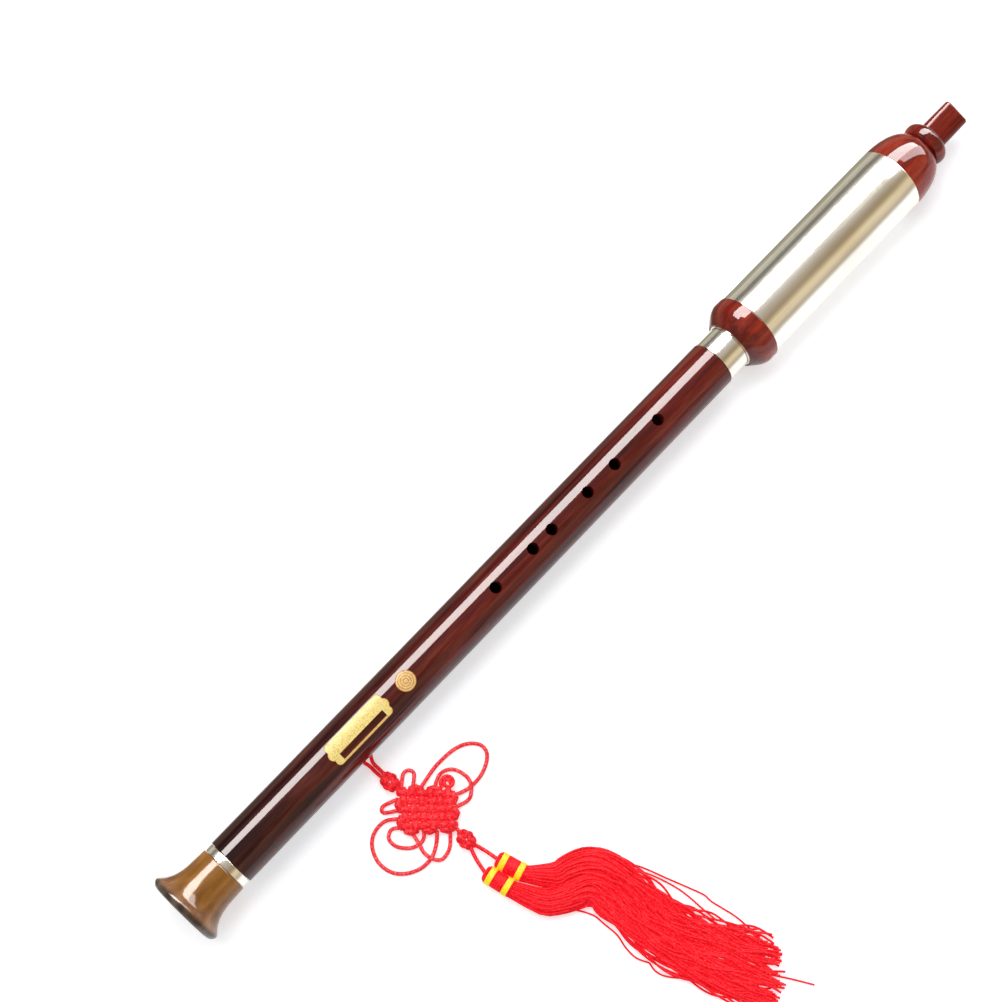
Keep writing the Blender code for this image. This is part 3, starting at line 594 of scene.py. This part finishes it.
def make_body(look):
    b = BODY
    middle = [(s, b["radius"]) for s in np.arange(b["start"] + 4, b["end"] - 3, 4.0)]
    loop = [(b["foot"], b["bore"]), (b["foot"], b["foot_radius"]), (b["start"], b["foot_radius"])]
    loop += rounded(b["start"], b["radius"], 0.4, 0.4) + middle
    loop += rounded(b["end"], b["radius"], -0.4, 0.4)[::-1]
    loop += [(b["end"], b["tenon"]), (b["tenon_end"], b["tenon"]), (b["tenon_end"], b["bore"])]
    tube = new_object("body_tube_wood", lathe_mesh("body_tube_wood", loop))
    drills = [drill(s, HOLE_ROLL, HOLE_RADIUS, 20) for s in FINGER_HOLES]
    drills.append(drill(355.0, HOLE_ROLL + 180, HOLE_RADIUS, 20))
    drills += [drill(113.8 + side * 2.9, 140, 1.5, 20, 24) for side in (-1, 1)]
    boolean(tube, drills)
    round_normals(tube.data, b["radius"])
    finish_piece(tube, look, LOWER, ["body_tube"])


def make_bell(look):
    rim = [(0.0, 16.9), (0.25, 17.8), (0.8, 18.7), (1.6, 19.45), (2.5, 19.9), (3.2, 20.0), (3.9, 19.75)]
    flare = [(3.9, 19.75), (4.9, 18.9), (6.6, 17.35), (8.6, 16.05), (11.0, 14.95), (14.0, 14.1), (18.5, 13.5), (27.9, 13.1)]
    inner = [(20.0, 8.0), (14.0, 8.9), (9.0, 10.2), (5.0, 12.0), (2.0, 14.0), (0.4, 15.6)]
    loop = [tuple(p) for p in catmull(rim, 4)] + [tuple(p) for p in catmull(flare, 5)][1:]
    loop += [(28.3, 12.8), (28.3, 10.65), (20.0, 10.65)] + [tuple(p) for p in catmull(inner, 4)]
    loop += [(0.1, 16.2)]
    bell = new_object("bell_horn", lathe_mesh("bell_horn", loop))
    finish_piece(bell, look, LOWER, ["horn_bell"])


def make_ring(name, start, end, outside, inside, edge, look, body, replaces, step=None):
    loop = [(start, inside)] + rounded(start, outside, edge, edge)
    if step:
        loop += [(s, outside) for s in np.arange(start + step, end - step, step)]
    loop += rounded(end, outside, -edge, edge)[::-1] + [(end, inside)]
    made = new_object(name, lathe_mesh(name, loop))
    return finish_piece(made, look, body, replaces)


def make_collar(look):
    curve = [(394.0, 14.3), (395.2, 15.3), (396.5, 16.35), (397.8, 17.4), (399.0, 18.25), (400.2, 18.95)]
    curve += [(401.5, 19.5), (402.6, 19.9), (403.6, 20.0), (405.5, 20.0)]
    loop = [(394.0, 13.25)] + [tuple(p) for p in catmull(curve, 4)] + rounded(408.3, 20.0, -0.4, 0.4)[::-1]
    loop += [(408.3, 18.7), (456.0, 18.7), (456.0, 11.05), (436.5, 11.05), (436.5, 13.25)]
    collar = new_object("collar_wood", lathe_mesh("collar_wood", loop))
    finish_piece(collar, look, HEAD, ["head_collar"])


def make_dome(look):
    start, end, foot, top = 522.8, 545.9, 19.2, DOME_TOP
    loop = [(514.5, 16.2), (514.5, 18.7), (start, 18.7), (start, foot - 0.2)]
    for k in range(25):
        angle = math.pi / 2 * k / 24
        loop.append((start + 0.1 + (end - start - 0.1) * math.sin(angle), top + (foot - top) * math.cos(angle)))
    loop += [(end, 8.3), (534.9, 8.3), (524.8, 15.2)]
    dome = new_object("dome_wood", lathe_mesh("dome_wood", loop))
    finish_piece(dome, look, HEAD, ["barrel_dome"])


DOME_TOP = 10.0


def beak_mesh():
    """The flat beak: a plate with rounded sides, thinner to the tip and sharp across its end."""
    sections = [(552.6, 15.8, 8.0), (556.0, 15.8, 7.6), (562.0, 15.7, 7.0), (568.0, 15.6, 6.4), (576.4, 15.5, 5.7)]
    sections += [(577.0, 15.3, 5.5), (577.3, 14.9, 5.1)]
    mesh = bpy.data.meshes.new("beak")
    shape = bmesh.new()
    rings = []
    for station, wide, thick in sections:
        corner = thick * 0.42
        ring = []
        for cy, cz, begin in ((1, 1, 0), (-1, 1, 90), (-1, -1, 180), (1, -1, 270)):
            for k in range(9):
                angle = math.radians(begin + 11.25 * k)
                y = cy * (wide / 2 - corner) + corner * math.cos(angle)
                z = cz * (thick / 2 - corner) + corner * math.sin(angle)
                ring.append(shape.verts.new(((station - HALF_LENGTH) * MM, y * MM, z * MM)))
        rings.append(ring)
    for first, second in zip(rings, rings[1:]):
        for k in range(len(first)):
            n = (k + 1) % len(first)
            shape.faces.new((first[k], first[n], second[n], second[k]))
    shape.faces.new(rings[0])
    shape.faces.new(rings[-1])
    bmesh.ops.recalc_face_normals(shape, faces=shape.faces)
    roll = Matrix.Translation((0, 0, AXIS_Z * MM)) @ Matrix.Rotation(math.radians(BEAK_ROLL), 4, "X")
    shape.transform(roll)
    shape.to_mesh(mesh)
    shape.free()
    return mesh


BEAK_ROLL = 18


def make_mouthpiece(look):
    bead = [(546.9, 10.2), (547.4, 11.2), (548.3, 12.0), (549.6, 12.55), (551.0, 12.75), (552.4, 12.6), (553.6, 12.0)]
    bead += [(554.6, 11.0), (555.2, 9.8)]
    loop = [(533.9, 0.0), (533.9, 7.0), (546.9, 7.0)] + [tuple(p) for p in catmull(bead, 4)] + [(555.2, 0.0)]
    piece = new_object("mouthpiece_wood", lathe_mesh("mouthpiece_wood", loop))
    beak = new_object("beak", beak_mesh())
    boolean(piece, [beak], "UNION")
    slot_mesh = bpy.data.meshes.new("windway")
    shape = bmesh.new()
    bmesh.ops.create_cube(shape, size=1.0)
    bmesh.ops.scale(shape, vec=(50 * MM, 8.5 * MM, 3.0 * MM), verts=shape.verts)
    shape.to_mesh(slot_mesh)
    shape.free()
    windway = new_object("windway", slot_mesh)
    windway.matrix_world = across(555.0, BEAK_ROLL)
    boolean(piece, [windway])
    piece.data.shade_smooth()
    piece.data.set_sharp_from_angle(angle=math.radians(30))
    finish_piece(piece, look, MOUTH, ["mouthpiece"])


def on_body(x, arc, lift):
    """A point on the body tube's wall: x in millimetres, arc round the wall from the decals' middle."""
    radius = BODY["radius"] + lift
    angle = math.radians(DECAL_ROLL) + arc / BODY["radius"]
    return ((x - HALF_LENGTH) * MM, -radius * math.sin(angle) * MM, (AXIS_Z + radius * math.cos(angle)) * MM)


DECAL_ROLL = 10


def cartouche_end(side):
    """The carved end of the cartouche: three lobes, as (along, across) in millimetres."""
    points = [(side * 14.6, -6.3)]
    for cx, cy, radius, start, stop in ((16.3, -4.0, 2.3, -90, 20), (16.9, 0.0, 2.9, -55, 55), (16.3, 4.0, 2.3, -20, 90)):
        for k in range(9):
            angle = math.radians(start + (stop - start) * k / 8)
            points.append((side * (cx + radius * math.cos(angle)), cy + radius * math.sin(angle)))
    points.append((side * 14.6, 6.3))
    return points if side > 0 else points[::-1]


def decal_plate(name, outline, centre, lift, look):
    """A thin leaf bent round the tube: filled, cut into strips, and bent."""
    shape = bmesh.new()
    verts = [shape.verts.new((x, y, 0)) for x, y in outline]
    shape.faces.new(verts)
    for level in np.arange(-7.0, 7.1, 0.7):
        cut = list(shape.verts) + list(shape.edges) + list(shape.faces)
        bmesh.ops.bisect_plane(shape, geom=cut, plane_co=(0, level, 0), plane_no=(0, 1, 0), dist=1e-6)
    bmesh.ops.triangulate(shape, faces=shape.faces)
    top = bmesh.ops.extrude_face_region(shape, geom=list(shape.faces))
    raised = {g for g in top["geom"] if isinstance(g, bmesh.types.BMVert)}
    for vert in shape.verts:
        height = lift if vert in raised else 0.01
        vert.co = on_body(centre + vert.co.x, vert.co.y, height)
    bmesh.ops.recalc_face_normals(shape, faces=shape.faces)
    mesh = bpy.data.meshes.new(name)
    shape.to_mesh(mesh)
    shape.free()
    mesh.shade_smooth()
    mesh.set_sharp_from_angle(angle=math.radians(40))
    return finish_piece(new_object(name, mesh), look, LOWER)


def decal_line(name, outline, centre, lift, radius, look):
    curve = bpy.data.curves.new(name, "CURVE")
    curve.dimensions = "3D"
    curve.bevel_depth = radius * MM
    curve.bevel_resolution = 1
    spline = curve.splines.new("POLY")
    spline.points.add(len(outline) - 1)
    for point, (x, y) in zip(spline.points, outline):
        point.co = (*on_body(centre + x, y, lift), 1)
    spline.use_cyclic_u = True
    return finish_piece(new_object(name, curve), look, LOWER)


def circle(radius, count=48):
    return [(radius * math.cos(2 * math.pi * k / count), radius * math.sin(2 * math.pi * k / count)) for k in range(count)]


def make_decals():
    pale = gold_leaf("pale gold", (0.70, 0.42, 0.08), (0.95, 0.76, 0.27))
    bright = gold_leaf("gold line", (0.42, 0.13, 0.02), (0.64, 0.25, 0.05))
    orange = gold_leaf("orange gold", (0.68, 0.34, 0.08), (0.93, 0.58, 0.20))
    copper = gold_leaf("copper gold", (0.60, 0.32, 0.10), (0.90, 0.64, 0.26))
    field = [(-14.7, -6.3), (14.7, -6.3), (14.7, 1.5), (-14.7, 1.5)]
    decal_plate("cartouche_field", field, 119.0, 0.05, pale)
    for name, side in (("bell", -1), ("head", 1)):
        decal_plate(f"cartouche_end_{name}", cartouche_end(side), 119.0, 0.05, pale)
        decal_line(f"cartouche_end_edge_{name}", cartouche_end(side), 119.0, 0.06, 0.13, bright)
    rail = [(-14.7, 5.1), (14.7, 5.1), (14.7, 6.3), (-14.7, 6.3)]
    decal_plate("cartouche_rail", rail, 119.0, 0.05, orange)
    decal_plate("badge_leaf", circle(5.2), 151.6, 0.05, copper)
    for number, radius in enumerate((5.1, 3.9, 2.6, 1.3), 1):
        decal_line(f"badge_ring_{number}", circle(radius), 151.6, 0.06, 0.17, bright)


# The tassel, on the table

TABLE_GAP = 0.1
CORD = 2.0
UPPER_KNOT = (-174.6, -26.4)
LOWER_KNOT = (-169.4, -73.1)
KNOT_CORNERS = [(-174.2, -31.3), (-156.6, -51.6), (-168.6, -65.8), (-187.8, -47.6)]
BUTTON_RADIUS = 4.3
HEADS = {"a": ((-166.1, -90.2), (-162.1, -105.5)), "b": ((-174.9, -90.4), (-171.8, -106.1))}
THREAD_PATH = [(-166.9, -106.4), (-160.9, -118.3), (-146.6, -125.6), (-140.0, -130.5), (-136.9, -141.6)]
THREAD_PATH += [(-136.7, -154.8), (-136.0, -169.5), (-133.2, -183.5), (-127.7, -199), (-120.9, -214.5), (-112.8, -233)]
THREAD_SPREAD = [19.5, 20.5, 22.0, 23.0, 24.5, 26.0, 28.0, 29.5, 31.0, 32.0, 32.5]
HEAD_RADIUS = 4.6
HEAD_LENGTH = 15.4


def tube_curve(name, routes, radius, resolution=3):
    """routes are lists of points in metres. Each is one open run of cord."""
    curve = bpy.data.curves.new(name, "CURVE")
    curve.dimensions = "3D"
    curve.bevel_depth = radius * MM
    curve.bevel_resolution = resolution
    curve.use_fill_caps = True
    for route in routes:
        spline = curve.splines.new("POLY")
        spline.points.add(len(route) - 1)
        for point, co in zip(spline.points, route):
            point.co = (*co, 1)
        spline.use_smooth = True
    return new_object(name, curve)


def knot_edge(side, share, away):
    a = Vector((*KNOT_CORNERS[side], 0))
    b = Vector((*KNOT_CORNERS[(side + 1) % 4], 0))
    along = (b - a).normalized()
    return a.lerp(b, share) + Vector((-along.y, along.x, 0)) * away


LOW, HIGH = 0.0, 1.95
EARS = {
    "ear_small_upper": ((0, 0.06), [(-167.2, -28.1, LOW), (-164.0, -28.7, LOW), (-163.4, -31.9, LOW)], (0, 0.27), None),
    "ear_big_upper": (
        (0, 0.4),
        [(-156.7, -37.4, LOW), (-149.9, -37.0, LOW), (-141.2, -37.9, LOW), (-134.7, -40.7, LOW)]
        + [(-130.6, -45.7, LOW), (-131.1, -50.6, LOW), (-135.1, -54.1, LOW), (-141.8, -56.5, LOW)]
        + [(-148.9, -56.6, LOW), (-153.5, -55.4, LOW)],
        (1, 0.12),
        0.080,
    ),
    "ear_side_upper": (
        (0, 0.66),
        [(-155.9, -41.5, LOW), (-151.4, -42.1, LOW), (-148.2, -45.1, LOW), (-146.8, -49.9, LOW)]
        + [(-147.2, -54.1, HIGH), (-149.6, -57.8, HIGH), (-154.2, -60.2, LOW)],
        (1, 0.45),
        0.042,
    ),
    "ear_small_left": ((3, 0.76), [(-181.9, -33.0, LOW), (-185.9, -31.9, LOW), (-187.4, -34.3, LOW)], (3, 0.5), None),
    "ear_big_lower": (
        (3, 0.3),
        [(-189.1, -38.0, LOW), (-194.7, -37.2, LOW), (-200.2, -39.0, LOW), (-204.1, -43.1, LOW)]
        + [(-206.5, -49.5, LOW), (-205.7, -56.7, LOW), (-201.9, -62.1, LOW), (-196.1, -65.7, LOW)]
        + [(-190.3, -66.8, LOW), (-185.3, -66.0, LOW), (-179.9, -63.0, LOW)],
        (2, 0.36),
        0.078,
    ),
    "ear_side_lower": (
        (3, 0.1),
        [(-190.6, -42.8, LOW), (-194.2, -44.2, LOW), (-195.3, -47.0, LOW), (-194.6, -51.0, LOW)]
        + [(-191.1, -55.5, LOW), (-186.9, -57.6, LOW), (-183.4, -57.4, LOW)],
        (2, 0.6),
        0.031,
    ),
    "ear_bottom": (
        (2, 0.84),
        [(-186.6, -57.9, HIGH), (-188.0, -62.2, HIGH), (-187.4, -67.2, HIGH), (-184.6, -70.6, LOW)]
        + [(-180.2, -70.6, LOW), (-176.2, -68.6, LOW)],
        (2, 0.12),
        0.035,
    ),
}


def make_ears(look):
    base = TABLE_GAP + CORD / 2
    for name, (leave, places, arrive, length) in EARS.items():
        first, last = knot_edge(*leave, 0.3), knot_edge(*arrive, 0.3)
        points = [(first.x, first.y, 1.0), *places, (last.x, last.y, 1.0)]
        route = even([(x * MM, y * MM, (z + base) * MM) for x, y, z in points], 40 if length else 24)
        route[:, 2] = np.maximum(route[:, 2], base * MM)
        loop = finish_piece(tube_curve(name + "_cord", [route], CORD / 2), look, LOWER, [name])


def hanging_route():
    out = Vector((0, -math.sin(math.radians(140)), math.cos(math.radians(140))))
    low = TABLE_GAP + CORD / 2
    reach = BUTTON_RADIUS * 1.02 + 0.3
    axis = Vector((113.8 - HALF_LENGTH, 0, AXIS_Z))
    strands = []
    for side in (-1, 1):
        hole = axis + Vector((side * 2.9, 0, 0))
        strand = [Vector((UPPER_KNOT[0] + side * 1.05, UPPER_KNOT[1] + reach, low + 1.6))]
        strand.append(Vector((UPPER_KNOT[0] + side * 1.1, -17.5, low + 0.6)))
        strand.append(Vector((UPPER_KNOT[0] + side * 1.2, -13.4, low + 2.4)))
        strand += [hole + out * 15.2, hole + out * 10.4]
        for away, up in ((3.0, 7.7), (3.5, 5.2), (4.0, 2.9), (2.83, 0.07)):
            strand.append(axis + Vector((side * away, 0, 0)) + out * up)
        strands.append(strand)
    bend = axis - out * 1.1
    return [tuple(p * MM) for p in strands[0] + [bend] + strands[1][::-1]]


def make_hanging_cord(look):
    route = even(hanging_route(), 40)
    cord = finish_piece(tube_curve("hanging_strands", [route], CORD / 2), look, LOWER, ["hanging_cord"])


def quad_point(u, v):
    c = [Vector(p) for p in KNOT_CORNERS]
    return c[0].lerp(c[1], u).lerp(c[3].lerp(c[2], u), v)


def make_woven_knot(look):
    """Two cords, each to and fro across the square, over and under the other's runs."""
    runs = (5, 6)
    radius, lift = 1.95, 1.1
    middle = TABLE_GAP + radius + lift
    routes = []
    for way in (0, 1):
        own, other = runs[way], runs[1 - way]
        route = []
        for row in range(own):
            fixed = (row + 0.5) / own
            steps = np.linspace(0.0, 1.0, 43)
            sign = (-1) ** (row + way)
            for at in steps[::-1] if row % 2 else steps:
                wave = math.cos(math.pi * (at * other - 0.5))
                spot = quad_point(at, fixed) if way == 0 else quad_point(fixed, at)
                route.append((spot.x * MM, spot.y * MM, (middle + sign * lift * wave) * MM))
            if row < own - 1:
                end = 1.035 if row % 2 == 0 else -0.035
                spot = quad_point(end, (row + 1) / own) if way == 0 else quad_point((row + 1) / own, end)
                route.append((spot.x * MM, spot.y * MM, middle * MM))
        routes.append(route)
    knot = tube_curve("woven_knot", routes, radius, 2)
    finish_piece(knot, look, LOWER, ["endless_knot"])


def make_button(name, node, place, look):
    """A round knot: one cord that goes three times round, over and under itself."""
    route = []
    for k in range(180):
        t = 2 * math.pi * k / 180
        radius = 3.3 + 0.6 * math.cos(8 * (t - math.pi / 24))
        latitude = math.radians(62) * math.sin(4 * t)
        x = radius * math.cos(latitude) * math.cos(3 * t)
        y = radius * math.cos(latitude) * math.sin(3 * t)
        z = radius * math.sin(latitude)
        route.append(Vector((x * 0.95, y * 1.28, z * 0.78)))
    tilt = Matrix.Rotation(math.radians(12), 3, "X")
    lowest = min((tilt @ p).z for p in route)
    route = [tilt @ p + Vector((place[0], place[1], TABLE_GAP + 1.0 - lowest)) for p in route]
    route.append(route[0])
    made = tube_curve(name, [[tuple(p * MM) for p in route]], 1.05, 2)
    finish_piece(made, look, LOWER, [node])


def make_curl(look):
    """The loose end of the cord, wound up beside the big upper ear."""
    centre = Vector((-155.3, -47.2, TABLE_GAP + 3.2))
    route = []
    for k in range(46):
        turn = 2 * math.pi * (1.75 * k / 45 - 0.25)
        radius = 0.6 + 3.2 * k / 45
        route.append(centre + Vector((radius * math.cos(turn), radius * math.sin(turn), 0.4 - 0.4 * k / 45)))
    curl = tube_curve("cord_end_curl", [[tuple(p * MM) for p in route]], 0.95, 2)
    finish_piece(curl, look, LOWER)


def head_frame(key):
    start, end = HEADS[key]
    level = HEAD_RADIUS + 0.25 + TABLE_GAP
    a, b = Vector((*start, level)), Vector((*end, level))
    return a, (b - a).normalized()


def make_heads(red, yellow):
    for key in HEADS:
        a, along = head_frame(key)
        turn = along.to_track_quat("X", "Z").to_matrix().to_4x4()
        place = Matrix.Translation(a * MM) @ turn
        first, second, wide, gap = 2.2, HEAD_LENGTH - 3.9, 3.0, 0.3
        core = HEAD_RADIUS - 0.3
        loop = [(0.45, 0.0), (0.2, 0.9), (0.0, 1.9), (0.15, 2.9), (0.6, 3.7), (1.2, 4.0)]
        for begin, stop, radius in (
            (1.5, first - gap, HEAD_RADIUS),
            (first - gap, first + wide + gap, core),
            (first + wide + gap, second - gap, HEAD_RADIUS),
            (second - gap, second + wide + gap, core),
            (second + wide + gap, HEAD_LENGTH, HEAD_RADIUS),
        ):
            turns = max(1, round((stop - begin) / 0.5))
            for k in range(turns):
                for share, dip in ((0.08, 0.10), (0.5, 0.0), (0.92, 0.10)):
                    loop.append((begin + (stop - begin) * (k + share) / turns, radius - dip))
        loop.append((HEAD_LENGTH, 0.0))
        head = new_object(f"tassel_head_wound_{key}", lathe_mesh("tassel_head", loop, 48, place))
        finish_piece(head, red, LOWER, [f"tassel_head_{key}"])
        for number, begin in enumerate((first, second), 1):
            loop = [(begin, core + 0.05)]
            turns = 6
            for k in range(turns):
                for share, dip in ((0.08, 0.12), (0.5, 0.0), (0.92, 0.12)):
                    loop.append((begin + wide * (k + share) / turns, HEAD_RADIUS + 0.25 - dip))
            loop.append((begin + wide, core + 0.05))
            band = new_object(f"tassel_band_wound_{key}{number}", lathe_mesh("tassel_band", loop, 48, place))
            finish_piece(band, yellow, LOWER, [f"tassel_band_{key}{number}"])


def make_short_cords(look):
    height = TABLE_GAP + BUTTON_RADIUS * 0.72
    knot = Vector((*LOWER_KNOT, height))
    reach = BUTTON_RADIUS + 0.3
    corner = Vector((*KNOT_CORNERS[2], TABLE_GAP + 2.2))
    down = (knot - corner).normalized()
    neck = [corner - down * 1.0, (corner + knot) / 2, knot - down * (reach - 1.2)]
    made = tube_curve("knot_neck", [even([tuple(p * MM) for p in neck], 8)], CORD / 2)
    finish_piece(made, look, LOWER, ["knot_neck_cord"])
    for key in HEADS:
        top, along = head_frame(key)
        aim = (top - knot).normalized()
        leave = knot + aim * (reach - 1.4)
        bow = (leave + top) / 2 + Vector((0.4 if key == "a" else -0.4, 0, -0.6))
        route = even([tuple(p * MM) for p in (leave, bow, top + along * 0.3)], 16)
        made = tube_curve(f"tassel_cord_run_{key}", [route], CORD / 2)
        finish_piece(made, look, LOWER, [f"tassel_cord_{key}"])


def thread_frames(key):
    """Middle, side, half width and half height of a bundle along its way, in millimetres."""
    sign = 1 if key == "a" else -1
    path = even([(x, y, w) for (x, y), w in zip(THREAD_PATH, THREAD_SPREAD)], 31)
    top, along = head_frame(key)
    flat = Vector((along.x, along.y, 0)).normalized()
    begin = top + along * (HEAD_LENGTH - 0.4)
    frames = [(Vector((begin.x, begin.y, 0)), Vector((-flat.y, flat.x, 0)) * sign, HEAD_RADIUS * 0.9, HEAD_RADIUS)]
    for i in range(4 if key == "a" else 2, len(path)):
        x, y, spread = path[i]
        after = path[min(i + 2, len(path) - 1)]
        ahead = Vector((after[0] - path[i - 2][0], after[1] - path[i - 2][1], 0)).normalized()
        side = Vector((-ahead.y, ahead.x, 0)) * sign
        share = i / (len(path) - 1)
        half_height = HEAD_RADIUS + (2.0 - HEAD_RADIUS) * share**0.8
        full = spread / 4 * (1 + 0.22 * math.exp(-(((share - 0.22) / 0.2) ** 2))) + 0.9
        frames.append((Vector((x, y, 0)) + side * (full - 1.4), side, full, half_height))
    return frames


def make_threads(look, count=88):
    for number, key in enumerate(HEADS):
        chance = random.Random(11 + number)
        frames = thread_frames(key)
        routes = []
        for k in range(count):
            angle = 2 * math.pi * k * 0.618034
            reach = math.sqrt((k + 0.5) / count)
            a, b = reach * math.cos(angle), reach * math.sin(angle)
            drift, phase, turns = chance.gauss(0, 0.34), chance.uniform(0, 6.28), chance.uniform(1.5, 4.5)
            cut = 0.6 + 1.1 * (1 + a) if key == "a" else 0.5 * (1 - a)
            last = len(frames) - 1 - cut - 2 * chance.uniform(0, 1.35) ** 1.5
            route = []
            steps = 24
            for i in range(steps):
                at = last * i / (steps - 1)
                low = min(int(at), len(frames) - 2)
                share = at - low
                spot = frames[low][0].lerp(frames[low + 1][0], share)
                side = frames[low][1].lerp(frames[low + 1][1], share).normalized()
                half = frames[low][2] + (frames[low + 1][2] - frames[low][2]) * share
                high = frames[low][3] + (frames[low + 1][3] - frames[low][3]) * share
                whole = at / (len(frames) - 1)
                wave = 0.21 * math.sin(turns * 2 * math.pi * whole + phase) * min(1, 3 * whole)
                x = a * 0.95 + drift * whole**1.5 + wave
                y = b * 0.9 + 0.6 * wave
                place = spot + side * (half * x)
                z = TABLE_GAP + 0.55 + (high - 0.55) * (1 + max(-1, min(1, y)))
                route.append((place.x * MM, place.y * MM, z * MM))
            fine = catmull(route, 2)
            routes.append([tuple(p) for p in fine])
        made = tube_curve(f"tassel_threads_loose_{key}", routes, 0.55, 1)
        finish_piece(made, look, LOWER, [f"tassel_threads_{key}"])


STRAYS = [
    [(612, 860), (628, 863), (642, 867), (662, 876), (678, 883), (700, 893), (708, 900), (729, 913), (740, 922), (754, 934)],
    [(628, 868), (647, 873), (668, 883), (683, 893), (700, 908), (712, 918)],
    [(530, 903), (545, 909), (560, 908), (574, 908), (591, 913), (601, 921), (614, 932), (622, 944), (632, 954), (645, 959)],
    [(645, 959), (651, 967), (662, 972), (683, 974)],
    [(760, 970), (781, 974), (805, 980)],
]


def on_ground(px, py):
    """The place on the table, in metres, that the photograph shows at a pixel."""
    x = -173.37 + 0.3361 * (px - 399) - 0.3558 * (py - 787)
    y = -31.3 - 0.3581 * (px - 399) - 0.3368 * (py - 787)
    return (x * MM, y * MM, 0.9 * MM)


def make_strays(look):
    routes = [[tuple(p) for p in catmull([on_ground(*spot) for spot in stray], 5)] for stray in STRAYS]
    made = tube_curve("stray_threads", routes, 0.45, 1)
    finish_piece(made, look, LOWER)


# Everything


def keep_node(name, look):
    """A CAD node that stays takes a fuller material."""
    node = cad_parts[name]
    for slot in node.material_slots:
        slot.material = look


def main():
    add_camera()
    silk = red_silk("red cord silk", (0.86, 0.020, 0.030), (0.97, 0.105, 0.115), (1100, 1100, 1100), 0.35)
    threads = red_silk("red thread silk", (0.90, 0.010, 0.022), (1.0, 0.045, 0.065), (1100, 1100, 1100), 0.12)
    # The ears get a lighter, pinker copy of the cord silk: painted sheen where light catches the ears.
    sheen_painted_silk = red_silk("cord silk with painted sheen", (0.80, 0.055, 0.060), (0.95, 0.21, 0.21), (1100, 1100, 1100), 0.4)
    make_hanging_cord(silk)
    make_ears(sheen_painted_silk)
    make_woven_knot(silk)
    make_button("upper_button", "upper_button_knot", UPPER_KNOT, silk)
    make_button("lower_button", "lower_button_knot", LOWER_KNOT, silk)
    make_heads(threads, yellow_thread())
    make_short_cords(silk)
    make_curl(silk)
    make_threads(threads)
    make_strays(threads)

    red_wood = lacquered_wood("red wood", (0.15, 0.008, 0.007), (0.36, 0.028, 0.014), (0.50, 0.060, 0.026))
    metal = nickel_silver()
    make_body(body_wood())
    make_bell(horn())
    make_ring("ferrule_metal", 28.5, 32.6, 12.85, 10.65, 0.3, metal, LOWER, ["bell_ferrule"])
    make_ring("sleeve_metal", 380.7, 426.4, 12.65, 12.2, 0.2, metal, LOWER, ["tenon_sleeve"], 5)
    collar_tones = ((0.13, 0.007, 0.006), (0.33, 0.026, 0.013), (0.48, 0.058, 0.026))
    # The collar's narrow end, by the sleeve, is darkened with painted shade and painted dark reflection.
    make_collar(lacquered_wood("collar wood", *collar_tones, painted_shade_span=(0.1055, 0.1135)))
    make_ring("barrel_metal", 408.6, 522.5, 19.45, 18.75, 0.3, metal, HEAD, ["wind_barrel"], 6)
    make_dome(red_wood)
    make_mouthpiece(lacquered_wood("dark red wood", (0.10, 0.006, 0.006), (0.25, 0.018, 0.010), (0.38, 0.042, 0.020)))
    make_decals()

    keep_node("socket_liner", metal)
    keep_node("reed_tube", red_wood)
    keep_node("reed_plate", brass())
    keep_node("reed_tube_stopper", cork())
    keep_node("mouthpiece_cork", cork())
    for number in (1, 2):
        keep_node(f"reed_binding_{number}", binding_thread())

    add_floor()
    add_world()
    add_cards()
    add_lamp("key", (0.05, 0.50, 1.42), (-0.03, -0.03, 0.0), (1.6, 0.8), 15)
    bpy.context.scene.view_settings.view_transform = "Standard"


main()
